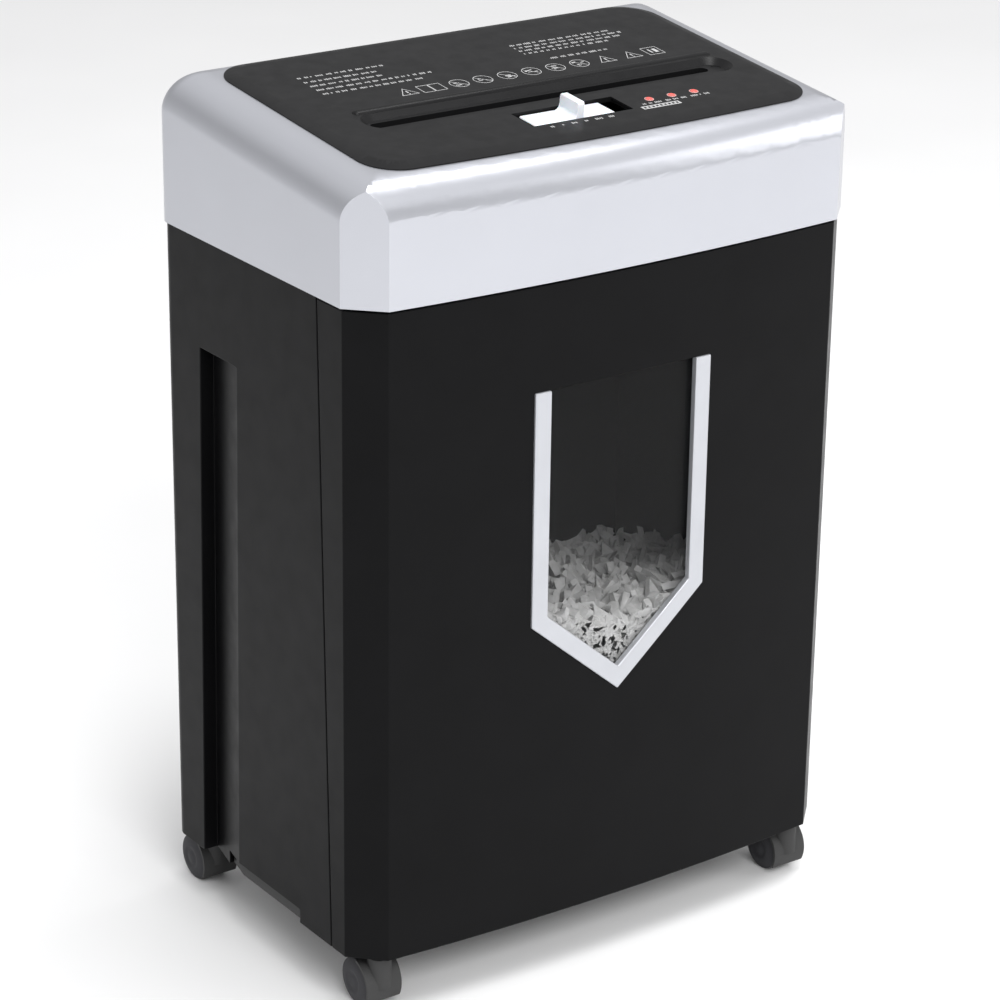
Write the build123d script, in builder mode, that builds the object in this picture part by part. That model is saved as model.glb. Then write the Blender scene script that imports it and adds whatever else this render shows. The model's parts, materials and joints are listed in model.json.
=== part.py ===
from build123d import *
import os
from math import atan2, cos, degrees, hypot, pi, radians, sin, sqrt, tan

# Floor-standing paper shredder. Millimetres. X runs to the right, Y to the back and Z up.
# The origin is on the floor, under the middle of the whole object.

# ---------------------------------------------------------------- overall sizes
head_width = 340.0          # silver head, side to side
head_depth = 210.0          # head, from the front corners to the back
front_bow = 6.2             # how far the middle of the front stands out past its corners
corner_chamfer = 18.5       # upright chamfer at each front corner
wheel_overhang = 11.0       # how far the rear wheels reach out behind the head
body_bottom = 36.0          # underside of the cabinet above the floor
head_bottom = 420.0         # joint between the cabinet and the head
head_top = 498.0            # top surface of the head, above its middle
top_slope = 5.78            # degrees, the top falls towards the front
head_radius = 23.0          # rounding of the head's front and side top edges
rear_corner_radius = 12.0   # rounding of the upright rear corners
least_radius = 2.0          # the same, on parts that stand far inside
body_inset = 1.5            # the cabinet is this much smaller than the head all round
head_wall = 2.5
body_wall = 3.0

# ---------------------------------------------------------------- general clearances
gap = 0.8                   # seam between the bin front and the cabinet
slide_gap = 0.5             # sliding parts that are guided by each other
running = 0.05              # radial clearance of a shaft in its bearing
fit = 0.2                   # loose fit of one part in another

# ---------------------------------------------------------------- places on the Y axis
total_depth = head_depth + front_bow + wheel_overhang
front_y = -total_depth / 2 + front_bow      # line of the front corners
back_y = front_y + head_depth
middle_y = (front_y + back_y) / 2

# ---------------------------------------------------------------- seams and recesses of the cabinet
seam_top_y = middle_y - 61.0        # side seam of the bin front, at the head
seam_bottom_y = middle_y - 72.0     # the same seam, at the underside
grip_depth = 9.0                    # wedge-shaped grip recess in each side
grip_length = 40.0                  # length of its ramp
grip_top = 355.0
grip_top_y = middle_y + 62.0        # its upright step, at the top
grip_bottom_y = middle_y + 69.0     # the same step, at the underside
sill_height = 8.5                   # step up of the side's lower edge
sill_front_y = middle_y - 38.0
sill_back_y = middle_y + 46.0
top_gap = 1.5                       # gap between the bin front and the head

# ---------------------------------------------------------------- window in the bin front
window_half = 60.0
window_top = 358.0
window_shoulder = 220.0
window_tip = 169.0
frame_side = 10.5                   # width of the frame's uprights
frame_raise = 1.2                   # how far the frame stands out of the front
pane_thickness = 2.0
pane_land = 3.0                     # overlap of the pane behind the frame

# ---------------------------------------------------------------- control panel on the sloping top
panel_half = 147.0
panel_front = -88.5                 # distance along the slope from the middle
panel_back = 83.5
panel_bow = 4.5
panel_height = 2.6
panel_bevel = 8.0
panel_radius = 22.0
panel_plate = 3.0                   # thickness of the panel's plate below the head's surface
panel_lip = 4.0                     # how far the panel rests on the head's edge
slot_left = -111.0
slot_right = 117.0
slot_v = -26.0                      # the slot's middle, along the slope
slot_width = 7.0
funnel_left = -117.0
funnel_right = 131.0
funnel_front = -40.0
funnel_back = -15.0
funnel_depth = 3.4
funnel_taper = 52.0
dimple_radius = 3.0
dimple_u = 123.5

# ---------------------------------------------------------------- mode slider
slider_left = -31.0
slider_right = 22.0
slider_front = -68.5
slider_back = -49.5
slider_travel = 10.0
slider_thickness = 1.5
slider_skin = 1.2                   # panel left above the slider's pocket
fin_u = -3.0
fin_thickness = 5.0
fin_height = 8.5
peg_radius = 2.0
opening_left = -35.5
opening_right = 32.0
opening_front = -69.0
opening_back = -48.0

# ---------------------------------------------------------------- indicators
lens_v = -60.0
lens_first_u = 49.5
lens_pitch = 15.6
lens_count = 3
lens_radius = 2.1
lens_flange = 3.2

# ---------------------------------------------------------------- cutters
cutter_half = 115.0                 # inner faces of the side plates
plate_thickness = 3.0
cutter_spacing = 36.0
cutter_z = 432.0
disc_radius = 19.5
disc_thickness = 3.8
disc_pitch = 8.0
disc_count = 27
disc_hooks = 5
core_radius = 12.0
journal_radius = 7.0
bush_radius = 10.0
comb_finger = 3.2
comb_bar = 5.0
rod_radius = 4.0

# ---------------------------------------------------------------- gears
sync_module = 1.8
sync_teeth = 20
drive_module = 1.5
drive_teeth = 40
second_teeth = 12
first_module = 1.25
first_teeth = 44
pinion_teeth = 10
gear_face = 12.0
first_face = 9.0
pinion_face = 10.0
axle_radius = 4.0
tooth_addendum = 0.78
tooth_dedendum = 1.15
tooth_thinning = 0.78               # leaves backlash between meshing teeth
tooth_angle = 21.0

# ---------------------------------------------------------------- motor
motor_y = middle_y + 50.0
motor_z = 445.0
motor_radius = 26.0
motor_length = 88.0
motor_wall = 3.0
rotor_radius = 20.0
shaft_radius = 4.0
fan_radius = 22.0
fan_blades = 7

# ---------------------------------------------------------------- head tray and bin
tray_floor = 394.0
tray_wall = 2.5
tray_clear = 8.0                    # space all round the tray's well, inside the cabinet
bin_half = 150.0
bin_top = 385.0
bin_wall = 2.5
bin_back_clear = 14.0
base_thickness = 3.0
base_rim = 14.0
rail_height = 8.0
rail_width = 12.0
rail_x = 110.0

# ---------------------------------------------------------------- casters
wheel_radius = 14.0
wheel_width = 7.0
wheel_track = 15.4                  # distance between the two wheels' middles
caster_trail = 11.0                 # the wheels run this far behind the stem
caster_x = 148.0
front_stem_y = middle_y - 90.0
rear_stem_y = back_y + wheel_overhang - wheel_radius - caster_trail
stem_radius = 4.0
stem_top = 46.0
stem_bottom = 20.0
pin_radius = 2.0
hood_gap = 1.0
hood_wall = 1.6
hub_radius = 7.0
hub_top = 33.0
web_half = 3.6

os.makedirs("parts", exist_ok=True)


def save(piece, name):
    """Label a finished piece and write its STEP file."""
    piece.part.label = name
    export_step(piece.part, f"parts/{name}.step")


# ---------------------------------------------------------------- shared outlines
bow_half = head_width / 2 - corner_chamfer
bow_circle = (bow_half**2 + front_bow**2) / (2 * front_bow)


def plan_outline(inset, z, chamfered=True):
    """Plan outline of the body at a height, inset all round."""
    half = head_width / 2 - inset
    front = front_y + inset
    back = back_y - inset
    nose = front - front_bow
    with BuildSketch(Plane.XY.offset(z)) as outline:
        with BuildLine():
            if chamfered:
                cut = corner_chamfer - inset * (2 - sqrt(2))
                left = (-half, front + cut)
                right = (half, front + cut)
                Line(left, (-half + cut, front))
                ThreePointArc((-half + cut, front), (0, nose), (half - cut, front))
                Line((half - cut, front), right)
            else:
                drop = bow_circle - sqrt(bow_circle**2 - half**2)
                left = (-half, nose + drop)
                right = (half, nose + drop)
                ThreePointArc(left, (0, nose), right)
            Line(right, (half, back))
            Line((half, back), (-half, back))
            Line((-half, back), left)
        make_face()
        corner_radius = max(rear_corner_radius - inset, least_radius)
        fillet(outline.vertices().group_by(Axis.Y)[-1], radius=corner_radius)
    return outline.sketch


slope = radians(top_slope)
top_plane = Plane(
    origin=(0, middle_y, head_top), x_dir=(1, 0, 0), z_dir=(0, -sin(slope), cos(slope))
)


def top_z(y, drop=0.0):
    """Height of the head's sloping top at a place on the Y axis, less a depth below it."""
    return head_top + (y - middle_y) * tan(slope) - drop / cos(slope)


def slope_y(v):
    """Y of a point that lies a distance v along the sloping top."""
    return middle_y + v * cos(slope)


def slope_z(v, height=0.0):
    """Z of a point a distance v along the sloping top and a height above it."""
    return head_top + v * sin(slope) + height * cos(slope)


def head_block(inset, bottom):
    """Solid block of the head's shape, inset on every side but the bottom."""
    tall = head_top + 40 - bottom
    top = top_plane.offset(-inset)
    with BuildPart() as block:
        extrude(plan_outline(inset, bottom, chamfered=False), amount=tall)
        split(bisect_by=top, keep=Keep.BOTTOM)
        top_edges = faces().sort_by(Axis.Z)[-1].edges()
        rear_line = back_y - rear_corner_radius - 1
        rounded = top_edges.filter_by(lambda edge: edge.center().Y < rear_line)
        fillet(rounded, radius=head_radius - inset)
        for side in (-1, 1):
            corner_y = front_y + corner_chamfer - inset * (sqrt(2) - 1)
            corner = Plane(
                origin=(side * (head_width / 2 - inset), corner_y, 0),
                x_dir=(side, 1, 0),
                z_dir=(side, -1, 0),
            )
            split(bisect_by=corner, keep=Keep.BOTTOM)
    return block.part


def panel_outline(inset, height):
    """Outline of the control panel on the sloping top, inset all round."""
    half = panel_half - inset
    front = panel_front + inset
    back = panel_back - inset
    with BuildSketch(top_plane.offset(height)) as outline:
        with BuildLine():
            ThreePointArc((-half, front), (0, front - panel_bow), (half, front))
            Line((half, front), (half, back))
            Line((half, back), (-half, back))
            Line((-half, back), (-half, front))
        make_face()
        fillet(outline.vertices(), radius=panel_radius - inset)
    return outline.sketch


def top_box(u_low, u_high, v_low, v_high, low, high):
    """Box on the sloping top, between two heights above it."""
    with BuildPart(mode=Mode.PRIVATE) as box:
        with BuildSketch(top_plane.offset(low)):
            with Locations(((u_low + u_high) / 2, (v_low + v_high) / 2)):
                Rectangle(u_high - u_low, v_high - v_low)
        extrude(amount=high - low)
    return box.part


def box_between(low, high):
    """Box between two corners."""
    size = [b - a for a, b in zip(low, high)]
    with BuildPart(mode=Mode.PRIVATE) as box:
        with Locations(low):
            Box(*size, align=(Align.MIN, Align.MIN, Align.MIN))
    return box.part


def bar_x(y, z, radius, x_low, x_high):
    """Round bar along X."""
    with BuildPart(mode=Mode.PRIVATE) as bar:
        with BuildSketch(Plane.YZ.offset(x_low)):
            with Locations((y, z)):
                Circle(radius)
        extrude(amount=x_high - x_low)
    return bar.part


def bar_z(x, y, radius, z_low, z_high):
    """Upright round bar."""
    with BuildPart(mode=Mode.PRIVATE) as bar:
        with BuildSketch(Plane.XY.offset(z_low)):
            with Locations((x, y)):
                Circle(radius)
        extrude(amount=z_high - z_low)
    return bar.part


def wedge(side, grow):
    """Wedge-shaped grip recess of one side, made larger all round by a wall's thickness."""
    half = head_width / 2 - body_inset
    ramp = grip_depth / grip_length
    deep = grip_depth + grow * (1 + ramp)
    reach = grip_length + grow / ramp
    with BuildPart(mode=Mode.PRIVATE) as recess:
        for y, z in ((grip_bottom_y, body_bottom), (grip_top_y, grip_top + grow)):
            with BuildSketch(Plane.XY.offset(z)):
                with BuildLine():
                    Polyline(
                        (side * (half + 1), y - reach - 1 / ramp),
                        (side * (half + 1), y + grow),
                        (side * (half - deep), y + grow),
                        close=True,
                    )
                make_face()
        loft(ruled=True)
    return recess.part


def body_block(inset, low, high):
    """Block of the cabinet's plan between two heights."""
    with BuildPart(mode=Mode.PRIVATE) as block:
        extrude(plan_outline(inset, low), amount=high - low)
    return block.part


def skin(inset, thickness, low, high):
    """Upright wall that follows the cabinet's plan."""
    with BuildPart(mode=Mode.PRIVATE) as wall:
        add(body_block(inset, low, high))
        add(body_block(inset + thickness, low, high), mode=Mode.SUBTRACT)
    return wall.part


def seam_plane(shift):
    """Plane of the bin front's side seam, moved back by a distance. It faces the back."""
    lean = atan2(seam_top_y - seam_bottom_y, head_bottom - body_bottom)
    return Plane(
        origin=(0, seam_bottom_y + shift, body_bottom),
        x_dir=(1, 0, 0),
        z_dir=(0, cos(lean), -sin(lean)),
    )


def window_points(grow):
    """Corners of the window in X and Z, grown all round by a distance."""
    rise = (window_shoulder - window_tip) / window_half
    half = window_half + grow
    tip = window_tip - grow * hypot(1, rise)
    shoulder = tip + half * rise
    return [
        (-half, window_top + grow),
        (half, window_top + grow),
        (half, shoulder),
        (0, tip),
        (-half, shoulder),
    ]


def window_prism(points):
    """Prism through the front of the body with a window's outline."""
    with BuildPart(mode=Mode.PRIVATE) as prism:
        with BuildSketch(Plane.XZ.offset(-(front_y + 30))):
            with BuildLine():
                Polyline(*points, close=True)
            make_face()
        extrude(amount=front_bow + 40)
    return prism.part


def gear(module, teeth, phase, face, x_low, y, z, bore):
    """Spur gear on an axis along X, with a tooth at the phase angle, in degrees from +Y."""
    pitch = module * teeth / 2
    tip = pitch + tooth_addendum * module
    root = pitch - tooth_dedendum * module
    half = pi * module / 4 * tooth_thinning
    tip_half = half - (tip - pitch) * tan(radians(tooth_angle))
    root_half = half + (pitch - root) * tan(radians(tooth_angle))
    foot = root - 0.5 * module
    with BuildPart(mode=Mode.PRIVATE) as wheel:
        with BuildSketch(Plane.YZ.offset(x_low)):
            with Locations((y, z)):
                Circle(root)
                with PolarLocations(0, teeth, start_angle=phase):
                    Polygon(
                        (foot, -root_half),
                        (root, -root_half),
                        (tip, -tip_half),
                        (tip, tip_half),
                        (root, root_half),
                        (foot, root_half),
                        align=None,
                    )
                if bore:
                    Circle(bore, mode=Mode.SUBTRACT)
        extrude(amount=face)
    return wheel.part


# ---------------------------------------------------------------- head cover
cover_back = back_y - head_wall
vent_count = 13
vent_pitch = 9.0
vent_width = 3.0
vent_height = 26.0
vent_z = 455.0
gland_x = -130.0
gland_z = 447.0
gland_radius = 7.0
gland_bore = 3.6

head_outer = head_block(0, head_bottom)
head_inner = head_block(head_wall, head_bottom)
with BuildPart() as head_cover:
    add(head_outer)
    add(head_inner, mode=Mode.SUBTRACT)
    extrude(panel_outline(panel_lip, -2 * head_wall), amount=4 * head_wall, mode=Mode.SUBTRACT)
    with BuildSketch(Plane.XZ.offset(-(back_y + 1))):
        with Locations((0, vent_z)):
            with GridLocations(vent_pitch, 0, vent_count, 1):
                SlotOverall(vent_height, vent_width, rotation=90)
        with Locations((gland_x, gland_z)):
            Circle(gland_radius)
    extrude(amount=head_wall + 2, mode=Mode.SUBTRACT)
save(head_cover, "head_cover")

# ---------------------------------------------------------------- cord gland in the head's back
gland_length = 14.0
gland_flange = 9.5
gland_flange_depth = 2.5

with BuildPart() as cord_gland:
    with BuildSketch(Plane.XZ.offset(-(cover_back - 8))):
        with Locations((gland_x, gland_z)):
            Circle(gland_radius)
            Circle(gland_bore, mode=Mode.SUBTRACT)
    extrude(amount=-gland_length)
    with BuildSketch(Plane.XZ.offset(-back_y)):
        with Locations((gland_x, gland_z)):
            Circle(gland_flange)
            Circle(gland_bore, mode=Mode.SUBTRACT)
    extrude(amount=-gland_flange_depth)
save(cord_gland, "cord_gland")

# ---------------------------------------------------------------- control panel
panel_foot = 0.6                    # upright edge under the panel's bevel
panel_skin = 3.0
plug_depth = 5.0
boss_depth = 5.0
post_radius = 3.0
board_height = -16.4                # top of the indicator board, above the sloping top
post_places = ((40.0, -52.0), (92.0, -66.0))
skin_low = panel_height - panel_skin

pocket = top_box(
    slider_left - slider_travel - slide_gap,
    slider_right + slider_travel + slide_gap,
    slider_front - slide_gap,
    slider_back + slide_gap,
    -plug_depth - 1,
    panel_height - slider_skin,
)
slider_window = top_box(opening_left, opening_right, opening_front, opening_back, -1, panel_height + 1)

with BuildPart() as control_panel:
    extrude(panel_outline(0, 0), amount=panel_foot)
    add(panel_outline(0, panel_foot))
    add(panel_outline(panel_bevel, panel_height))
    loft(ruled=True)
    extrude(panel_outline(panel_lip, 0), amount=-plug_depth)
    inside = panel_outline(panel_lip + head_wall, -plug_depth)
    extrude(inside, amount=plug_depth + skin_low, mode=Mode.SUBTRACT)
    funnel_box = (funnel_left - 3, funnel_right + 3, funnel_front - 3, funnel_back + 3)
    add(top_box(*funnel_box, -boss_depth, skin_low))
    for u, v in post_places:
        with BuildSketch(top_plane.offset(board_height)):
            with Locations((u, v)):
                Circle(post_radius)
        extrude(amount=skin_low - board_height)
    with BuildSketch(top_plane.offset(panel_height)):
        with Locations(((funnel_left + funnel_right) / 2, (funnel_front + funnel_back) / 2)):
            SlotOverall(funnel_right - funnel_left, funnel_back - funnel_front)
    extrude(amount=-funnel_depth, taper=funnel_taper, mode=Mode.SUBTRACT)
    with BuildSketch(top_plane.offset(panel_height)):
        with Locations(((slot_left + slot_right) / 2, slot_v)):
            SlotOverall(slot_right - slot_left, slot_width)
    extrude(amount=-(panel_height + boss_depth), mode=Mode.SUBTRACT)
    with BuildSketch(top_plane.offset(panel_height)):
        with Locations((dimple_u, slot_v)):
            Circle(dimple_radius)
        with Locations((lens_first_u, lens_v)):
            with GridLocations(lens_pitch, 1, lens_count, 1, align=(Align.MIN, Align.CENTER)):
                Circle(lens_radius)
    extrude(amount=-panel_height - 1, mode=Mode.SUBTRACT)
    add(pocket, mode=Mode.SUBTRACT)
    add(slider_window, mode=Mode.SUBTRACT)
save(control_panel, "control_panel")

# ---------------------------------------------------------------- mode slider and indicators
plate_top = panel_height - slider_skin - 0.1
plate_low = plate_top - slider_thickness
peg_low = -9.0
switch_top = plate_low - 0.3
peg_v = (slider_front + slider_back) / 2
switch_half = 20.0
switch_half_v = 7.0
groove_depth = 10.0

with BuildPart() as mode_slider:
    add(top_box(slider_left, slider_right, slider_front, slider_back, plate_low, plate_top))
    add(
        top_box(
            fin_u - fin_thickness / 2,
            fin_u + fin_thickness / 2,
            slider_front + 0.3,
            slider_back - 0.3,
            plate_top,
            panel_height + fin_height,
        )
    )
    with BuildSketch(top_plane.offset(peg_low)):
        with Locations((fin_u, peg_v)):
            Circle(peg_radius)
    extrude(amount=plate_low - peg_low)
save(mode_slider, "mode_slider")

groove_half = slider_travel + peg_radius + slide_gap
with BuildPart() as mode_switch:
    add(
        top_box(
            fin_u - switch_half,
            fin_u + switch_half,
            peg_v - switch_half_v,
            peg_v + switch_half_v,
            board_height,
            switch_top,
        )
    )
    groove = top_box(
        fin_u - groove_half,
        fin_u + groove_half,
        peg_v - peg_radius - slide_gap,
        peg_v + peg_radius + slide_gap,
        switch_top - groove_depth,
        switch_top + 1,
    )
    add(groove, mode=Mode.SUBTRACT)
save(mode_switch, "mode_switch")

board_thickness = 1.6
board_left = -34.0
board_right = 100.0
board_front = -74.0
board_back = -45.0

with BuildPart() as indicator_board:
    low = board_height - board_thickness
    add(top_box(board_left, board_right, board_front, board_back, low, board_height))
save(indicator_board, "indicator_board")

lens_rise = 0.6
lens_foot = 2.0

with BuildPart() as indicator_lenses:
    for index in range(lens_count):
        place = (lens_first_u + index * lens_pitch, lens_v)
        with BuildSketch(top_plane.offset(board_height)):
            with Locations(place):
                Circle(lens_radius - running)
        extrude(amount=panel_height + lens_rise - board_height)
        with BuildSketch(top_plane.offset(skin_low - lens_foot)):
            with Locations(place):
                Circle(lens_flange)
        extrude(amount=lens_foot)
save(indicator_lenses, "indicator_lenses")

# ---------------------------------------------------------------- machine frame in the head
slot_y = slope_y(slot_v)
front_axis = slot_y - cutter_spacing / 2
rear_axis = slot_y + cutter_spacing / 2
frame_low = tray_floor + tray_wall
frame_front = front_axis - 28.0
frame_back = motor_y + 34.0
frame_high = cutter_z + 40.0
frame_radius = 4.0
rod_inset = 6.0
rod_places = (
    (frame_front + rod_inset, frame_low + rod_inset),
    (frame_front + rod_inset, frame_high - rod_inset),
    (rear_axis + 30, frame_low + rod_inset),
    (frame_back - rod_inset, frame_high - rod_inset),
)

# The reduction gear sits above the line from the rear cutter to the motor, in mesh with both.
second_pitch = (drive_teeth + second_teeth) * drive_module / 2
first_pitch = (first_teeth + pinion_teeth) * first_module / 2
reach_y = motor_y - rear_axis
reach_z = motor_z - cutter_z
reach = hypot(reach_y, reach_z)
along = (second_pitch**2 - first_pitch**2 + reach**2) / (2 * reach)
aside = sqrt(second_pitch**2 - along**2)
gear_y = rear_axis + (along * reach_y - aside * reach_z) / reach
gear_z = cutter_z + (along * reach_z + aside * reach_y) / reach
to_gear = degrees(atan2(gear_z - cutter_z, gear_y - rear_axis))
to_motor = degrees(atan2(motor_z - gear_z, motor_y - gear_y))

plate_out = cutter_half + plate_thickness
motor_hole = shaft_radius + 2.0
drive_low = plate_out + 6.0
drive_high = drive_low + gear_face
first_low = drive_high + 2.0
first_high = first_low + first_face
cover_inside = first_high + 3.0
cover_wall = 2.0
cover_out = cover_inside + cover_wall
cover_drop = boss_depth + 1.5       # the cover's top lies this far under the head's sloping top
tooth_clear = 1.2
screw_radius = 2.5
screw_head = 1.5
screw_inset = 4.0
drive_tip = (drive_teeth / 2 + tooth_addendum) * drive_module
pinion_tip = (pinion_teeth / 2 + tooth_addendum) * first_module
cover_front = rear_axis - drive_tip - tooth_clear
cover_rear = motor_y + pinion_tip + tooth_clear
cover_low = cutter_z - drive_tip - tooth_clear


def cover_outline(grow):
    """Outline of the gear cover's inside in Y and Z, grown all round by its wall."""
    front = cover_front - grow
    rear = cover_rear + grow
    drop = cover_drop + cover_wall - grow
    with BuildSketch(Plane.XY) as outline:
        with BuildLine():
            Polyline(
                (front, cover_low - grow),
                (rear, cover_low - grow),
                (rear, top_z(rear, drop)),
                (front, top_z(front, drop)),
                close=True,
            )
        make_face()
    return outline.sketch


def side_plate(x_low, motor_side):
    """Upright steel plate that holds the cutters' bushes, and the motor on one side."""
    with BuildPart() as plate:
        with BuildSketch(Plane.YZ.offset(x_low)):
            with Locations(((frame_front + frame_back) / 2, (frame_low + frame_high) / 2)):
                RectangleRounded(frame_back - frame_front, frame_high - frame_low, frame_radius)
            if motor_side:
                add(cover_outline(cover_wall))
            with Locations((front_axis, cutter_z), (rear_axis, cutter_z)):
                Circle(bush_radius, mode=Mode.SUBTRACT)
            with Locations(*rod_places):
                Circle(rod_radius, mode=Mode.SUBTRACT)
            if motor_side:
                with Locations((motor_y, motor_z)):
                    Circle(motor_hole, mode=Mode.SUBTRACT)
                with Locations((gear_y, gear_z)):
                    Circle(axle_radius, mode=Mode.SUBTRACT)
        extrude(amount=plate_thickness)
    return plate


side_plate_left = side_plate(-plate_out, False)
save(side_plate_left, "side_plate_left")
side_plate_right = side_plate(cutter_half, True)
save(side_plate_right, "side_plate_right")

with BuildPart() as tie_rods:
    for y, z in rod_places:
        add(bar_x(y, z, rod_radius, -plate_out, plate_out))
save(tie_rods, "tie_rods")

journal_bore = journal_radius + running
with BuildPart() as shaft_bushes:
    for x in (-plate_out, cutter_half):
        for y in (front_axis, rear_axis):
            add(bar_x(y, cutter_z, bush_radius, x, x + plate_thickness))
            add(bar_x(y, cutter_z, journal_bore, x, x + plate_thickness), mode=Mode.SUBTRACT)
save(shaft_bushes, "shaft_bushes")

# ---------------------------------------------------------------- paper path
throat_plate = 2.5
throat_mouth = slot_width / 2
throat_top = slope_z(slot_v, -boss_depth) - (throat_mouth + throat_plate) * tan(slope) - fit
throat_nip = 2.0
throat_low = cutter_z + disc_radius + 1.0
throat_bend = throat_low + 12.0


def throat_guide(side):
    """One of the two plates that lead the paper from the slot to the cutters."""
    with BuildPart() as guide:
        with BuildSketch(Plane.YZ.offset(-cutter_half)):
            with BuildLine():
                Polyline(
                    (slot_y + side * throat_mouth, throat_top),
                    (slot_y + side * (throat_mouth + throat_plate), throat_top),
                    (slot_y + side * (throat_mouth + throat_plate), throat_bend),
                    (slot_y + side * (throat_nip + throat_plate), throat_low),
                    (slot_y + side * throat_nip, throat_low),
                    (slot_y + side * throat_mouth, throat_bend),
                    close=True,
                )
            make_face()
        extrude(amount=2 * cutter_half)
    return guide


throat_guide_front = throat_guide(-1)
save(throat_guide_front, "throat_guide_front")
throat_guide_rear = throat_guide(1)
save(throat_guide_rear, "throat_guide_rear")

sensor_half = 9.0
sensor_depth = 12.0
sensor_height = 13.0
sensor_y = slot_y + throat_mouth + throat_plate
sensor_low = throat_bend + 3.0

with BuildPart() as feed_sensor:
    low_corner = (-sensor_half, sensor_y, sensor_low)
    high_corner = (sensor_half, sensor_y + sensor_depth, sensor_low + sensor_height)
    add(box_between(low_corner, high_corner))
save(feed_sensor, "feed_sensor")

# ---------------------------------------------------------------- cutters
disc_first = -(disc_count - 1) * disc_pitch / 2
disc_turn = 360 / disc_hooks / 4
disc_offset = disc_pitch / 4        # the two cutters' discs stand between each other
hook_width = 5.5
hook_depth = 2.6
hook_lean = 18.0


def cutter(y, offset_x, x_low, x_high):
    """Cutter shaft with its toothed discs, and its journals out to the two ends given."""
    with BuildPart(mode=Mode.PRIVATE) as disc:
        with BuildSketch(Plane.YZ):
            Circle(disc_radius)
            with PolarLocations(disc_radius, disc_hooks):
                Rectangle(2 * hook_depth, hook_width, rotation=hook_lean, mode=Mode.SUBTRACT)
        extrude(amount=disc_thickness / 2, both=True)
    with BuildPart() as shaft:
        add(bar_x(y, cutter_z, core_radius, -cutter_half + fit, cutter_half - fit))
        add(bar_x(y, cutter_z, journal_radius, x_low, x_high))
        for index in range(disc_count):
            x = disc_first + index * disc_pitch + offset_x
            with Locations(Location((x, y, cutter_z), (index * disc_turn, 0, 0))):
                add(disc.part)
    return shaft


sync_low = -plate_out - 4.0 - gear_face
front_cutter = cutter(front_axis, -disc_offset, sync_low, plate_out)
save(front_cutter, "front_cutter")
rear_cutter = cutter(rear_axis, disc_offset, sync_low, drive_high)
save(rear_cutter, "rear_cutter")

comb_half = 8.0
finger_half = 5.0


def comb(y, offset_x, side):
    """Stripper comb: a bar with fingers that reach in between one cutter's discs."""
    bar_near = y + side * (disc_radius + 1.5)
    bar_far = bar_near + side * comb_bar
    tip = y + side * (core_radius + 1.0)
    bar_low, bar_high = sorted((bar_near, bar_far))
    finger_low, finger_high = sorted((tip, bar_near))
    with BuildPart() as stripper:
        low_corner = (-cutter_half, bar_low, cutter_z - comb_half)
        add(box_between(low_corner, (cutter_half, bar_high, cutter_z + comb_half)))
        for index in range(disc_count - 1):
            x = disc_first + (index + 0.5) * disc_pitch + offset_x
            low_corner = (x - comb_finger / 2, finger_low, cutter_z - finger_half)
            add(box_between(low_corner, (x + comb_finger / 2, finger_high, cutter_z + finger_half)))
    return stripper


front_comb = comb(front_axis, -disc_offset, -1)
save(front_comb, "front_comb")
rear_comb = comb(rear_axis, disc_offset, 1)
save(rear_comb, "rear_comb")

# ---------------------------------------------------------------- gears
with BuildPart() as rear_sync_gear:
    add(gear(sync_module, sync_teeth, 180, gear_face, sync_low, rear_axis, cutter_z, journal_radius))
save(rear_sync_gear, "rear_sync_gear")

half_tooth = 180 / sync_teeth
with BuildPart() as front_sync_gear:
    add(gear(sync_module, sync_teeth, half_tooth, gear_face, sync_low, front_axis, cutter_z, journal_radius))
save(front_sync_gear, "front_sync_gear")

with BuildPart() as drive_gear:
    add(gear(drive_module, drive_teeth, to_gear, gear_face, drive_low, rear_axis, cutter_z, journal_radius))
save(drive_gear, "drive_gear")

second_low = drive_low - 1.0
second_face = first_low - second_low
second_phase = to_gear + 180 + 180 / second_teeth
axle_bore = axle_radius + running

with BuildPart() as reduction_gear:
    add(gear(drive_module, second_teeth, second_phase, second_face, second_low, gear_y, gear_z, 0))
    add(gear(first_module, first_teeth, to_motor, first_face, first_low, gear_y, gear_z, 0))
    add(bar_x(gear_y, gear_z, axle_bore, second_low, first_high), mode=Mode.SUBTRACT)
save(reduction_gear, "reduction_gear")

with BuildPart() as gear_axle:
    add(bar_x(gear_y, gear_z, axle_radius, cutter_half, cover_inside))
save(gear_axle, "gear_axle")

# ---------------------------------------------------------------- motor
motor_high = cutter_half
motor_low = motor_high - motor_length
shaft_bore = shaft_radius + running
rotor_clear = 9.0
fan_gap = 8.0
fan_width = 10.0
fan_hub = 8.0
fan_blade = 1.8
fan_twist = 12.0
fan_high = motor_low - fan_gap
fan_low = fan_high - fan_width
pinion_low = first_low - 0.5

with BuildPart() as motor_case:
    add(bar_x(motor_y, motor_z, motor_radius, motor_low, motor_high))
    hollow_radius = motor_radius - motor_wall
    hollow_low = motor_low + motor_wall
    hollow_high = motor_high - motor_wall
    add(bar_x(motor_y, motor_z, hollow_radius, hollow_low, hollow_high), mode=Mode.SUBTRACT)
    add(bar_x(motor_y, motor_z, shaft_bore, motor_low, motor_high), mode=Mode.SUBTRACT)
save(motor_case, "motor_case")

with BuildPart() as motor_rotor:
    add(bar_x(motor_y, motor_z, shaft_radius, fan_low, pinion_low + pinion_face))
    add(bar_x(motor_y, motor_z, rotor_radius, motor_low + rotor_clear, motor_high - rotor_clear))
save(motor_rotor, "motor_rotor")

pinion_phase = to_motor + 180 + 180 / pinion_teeth
with BuildPart() as motor_pinion:
    pinion = gear(
        first_module, pinion_teeth, pinion_phase, pinion_face, pinion_low, motor_y, motor_z, shaft_radius
    )
    add(pinion)
save(motor_pinion, "motor_pinion")

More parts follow.
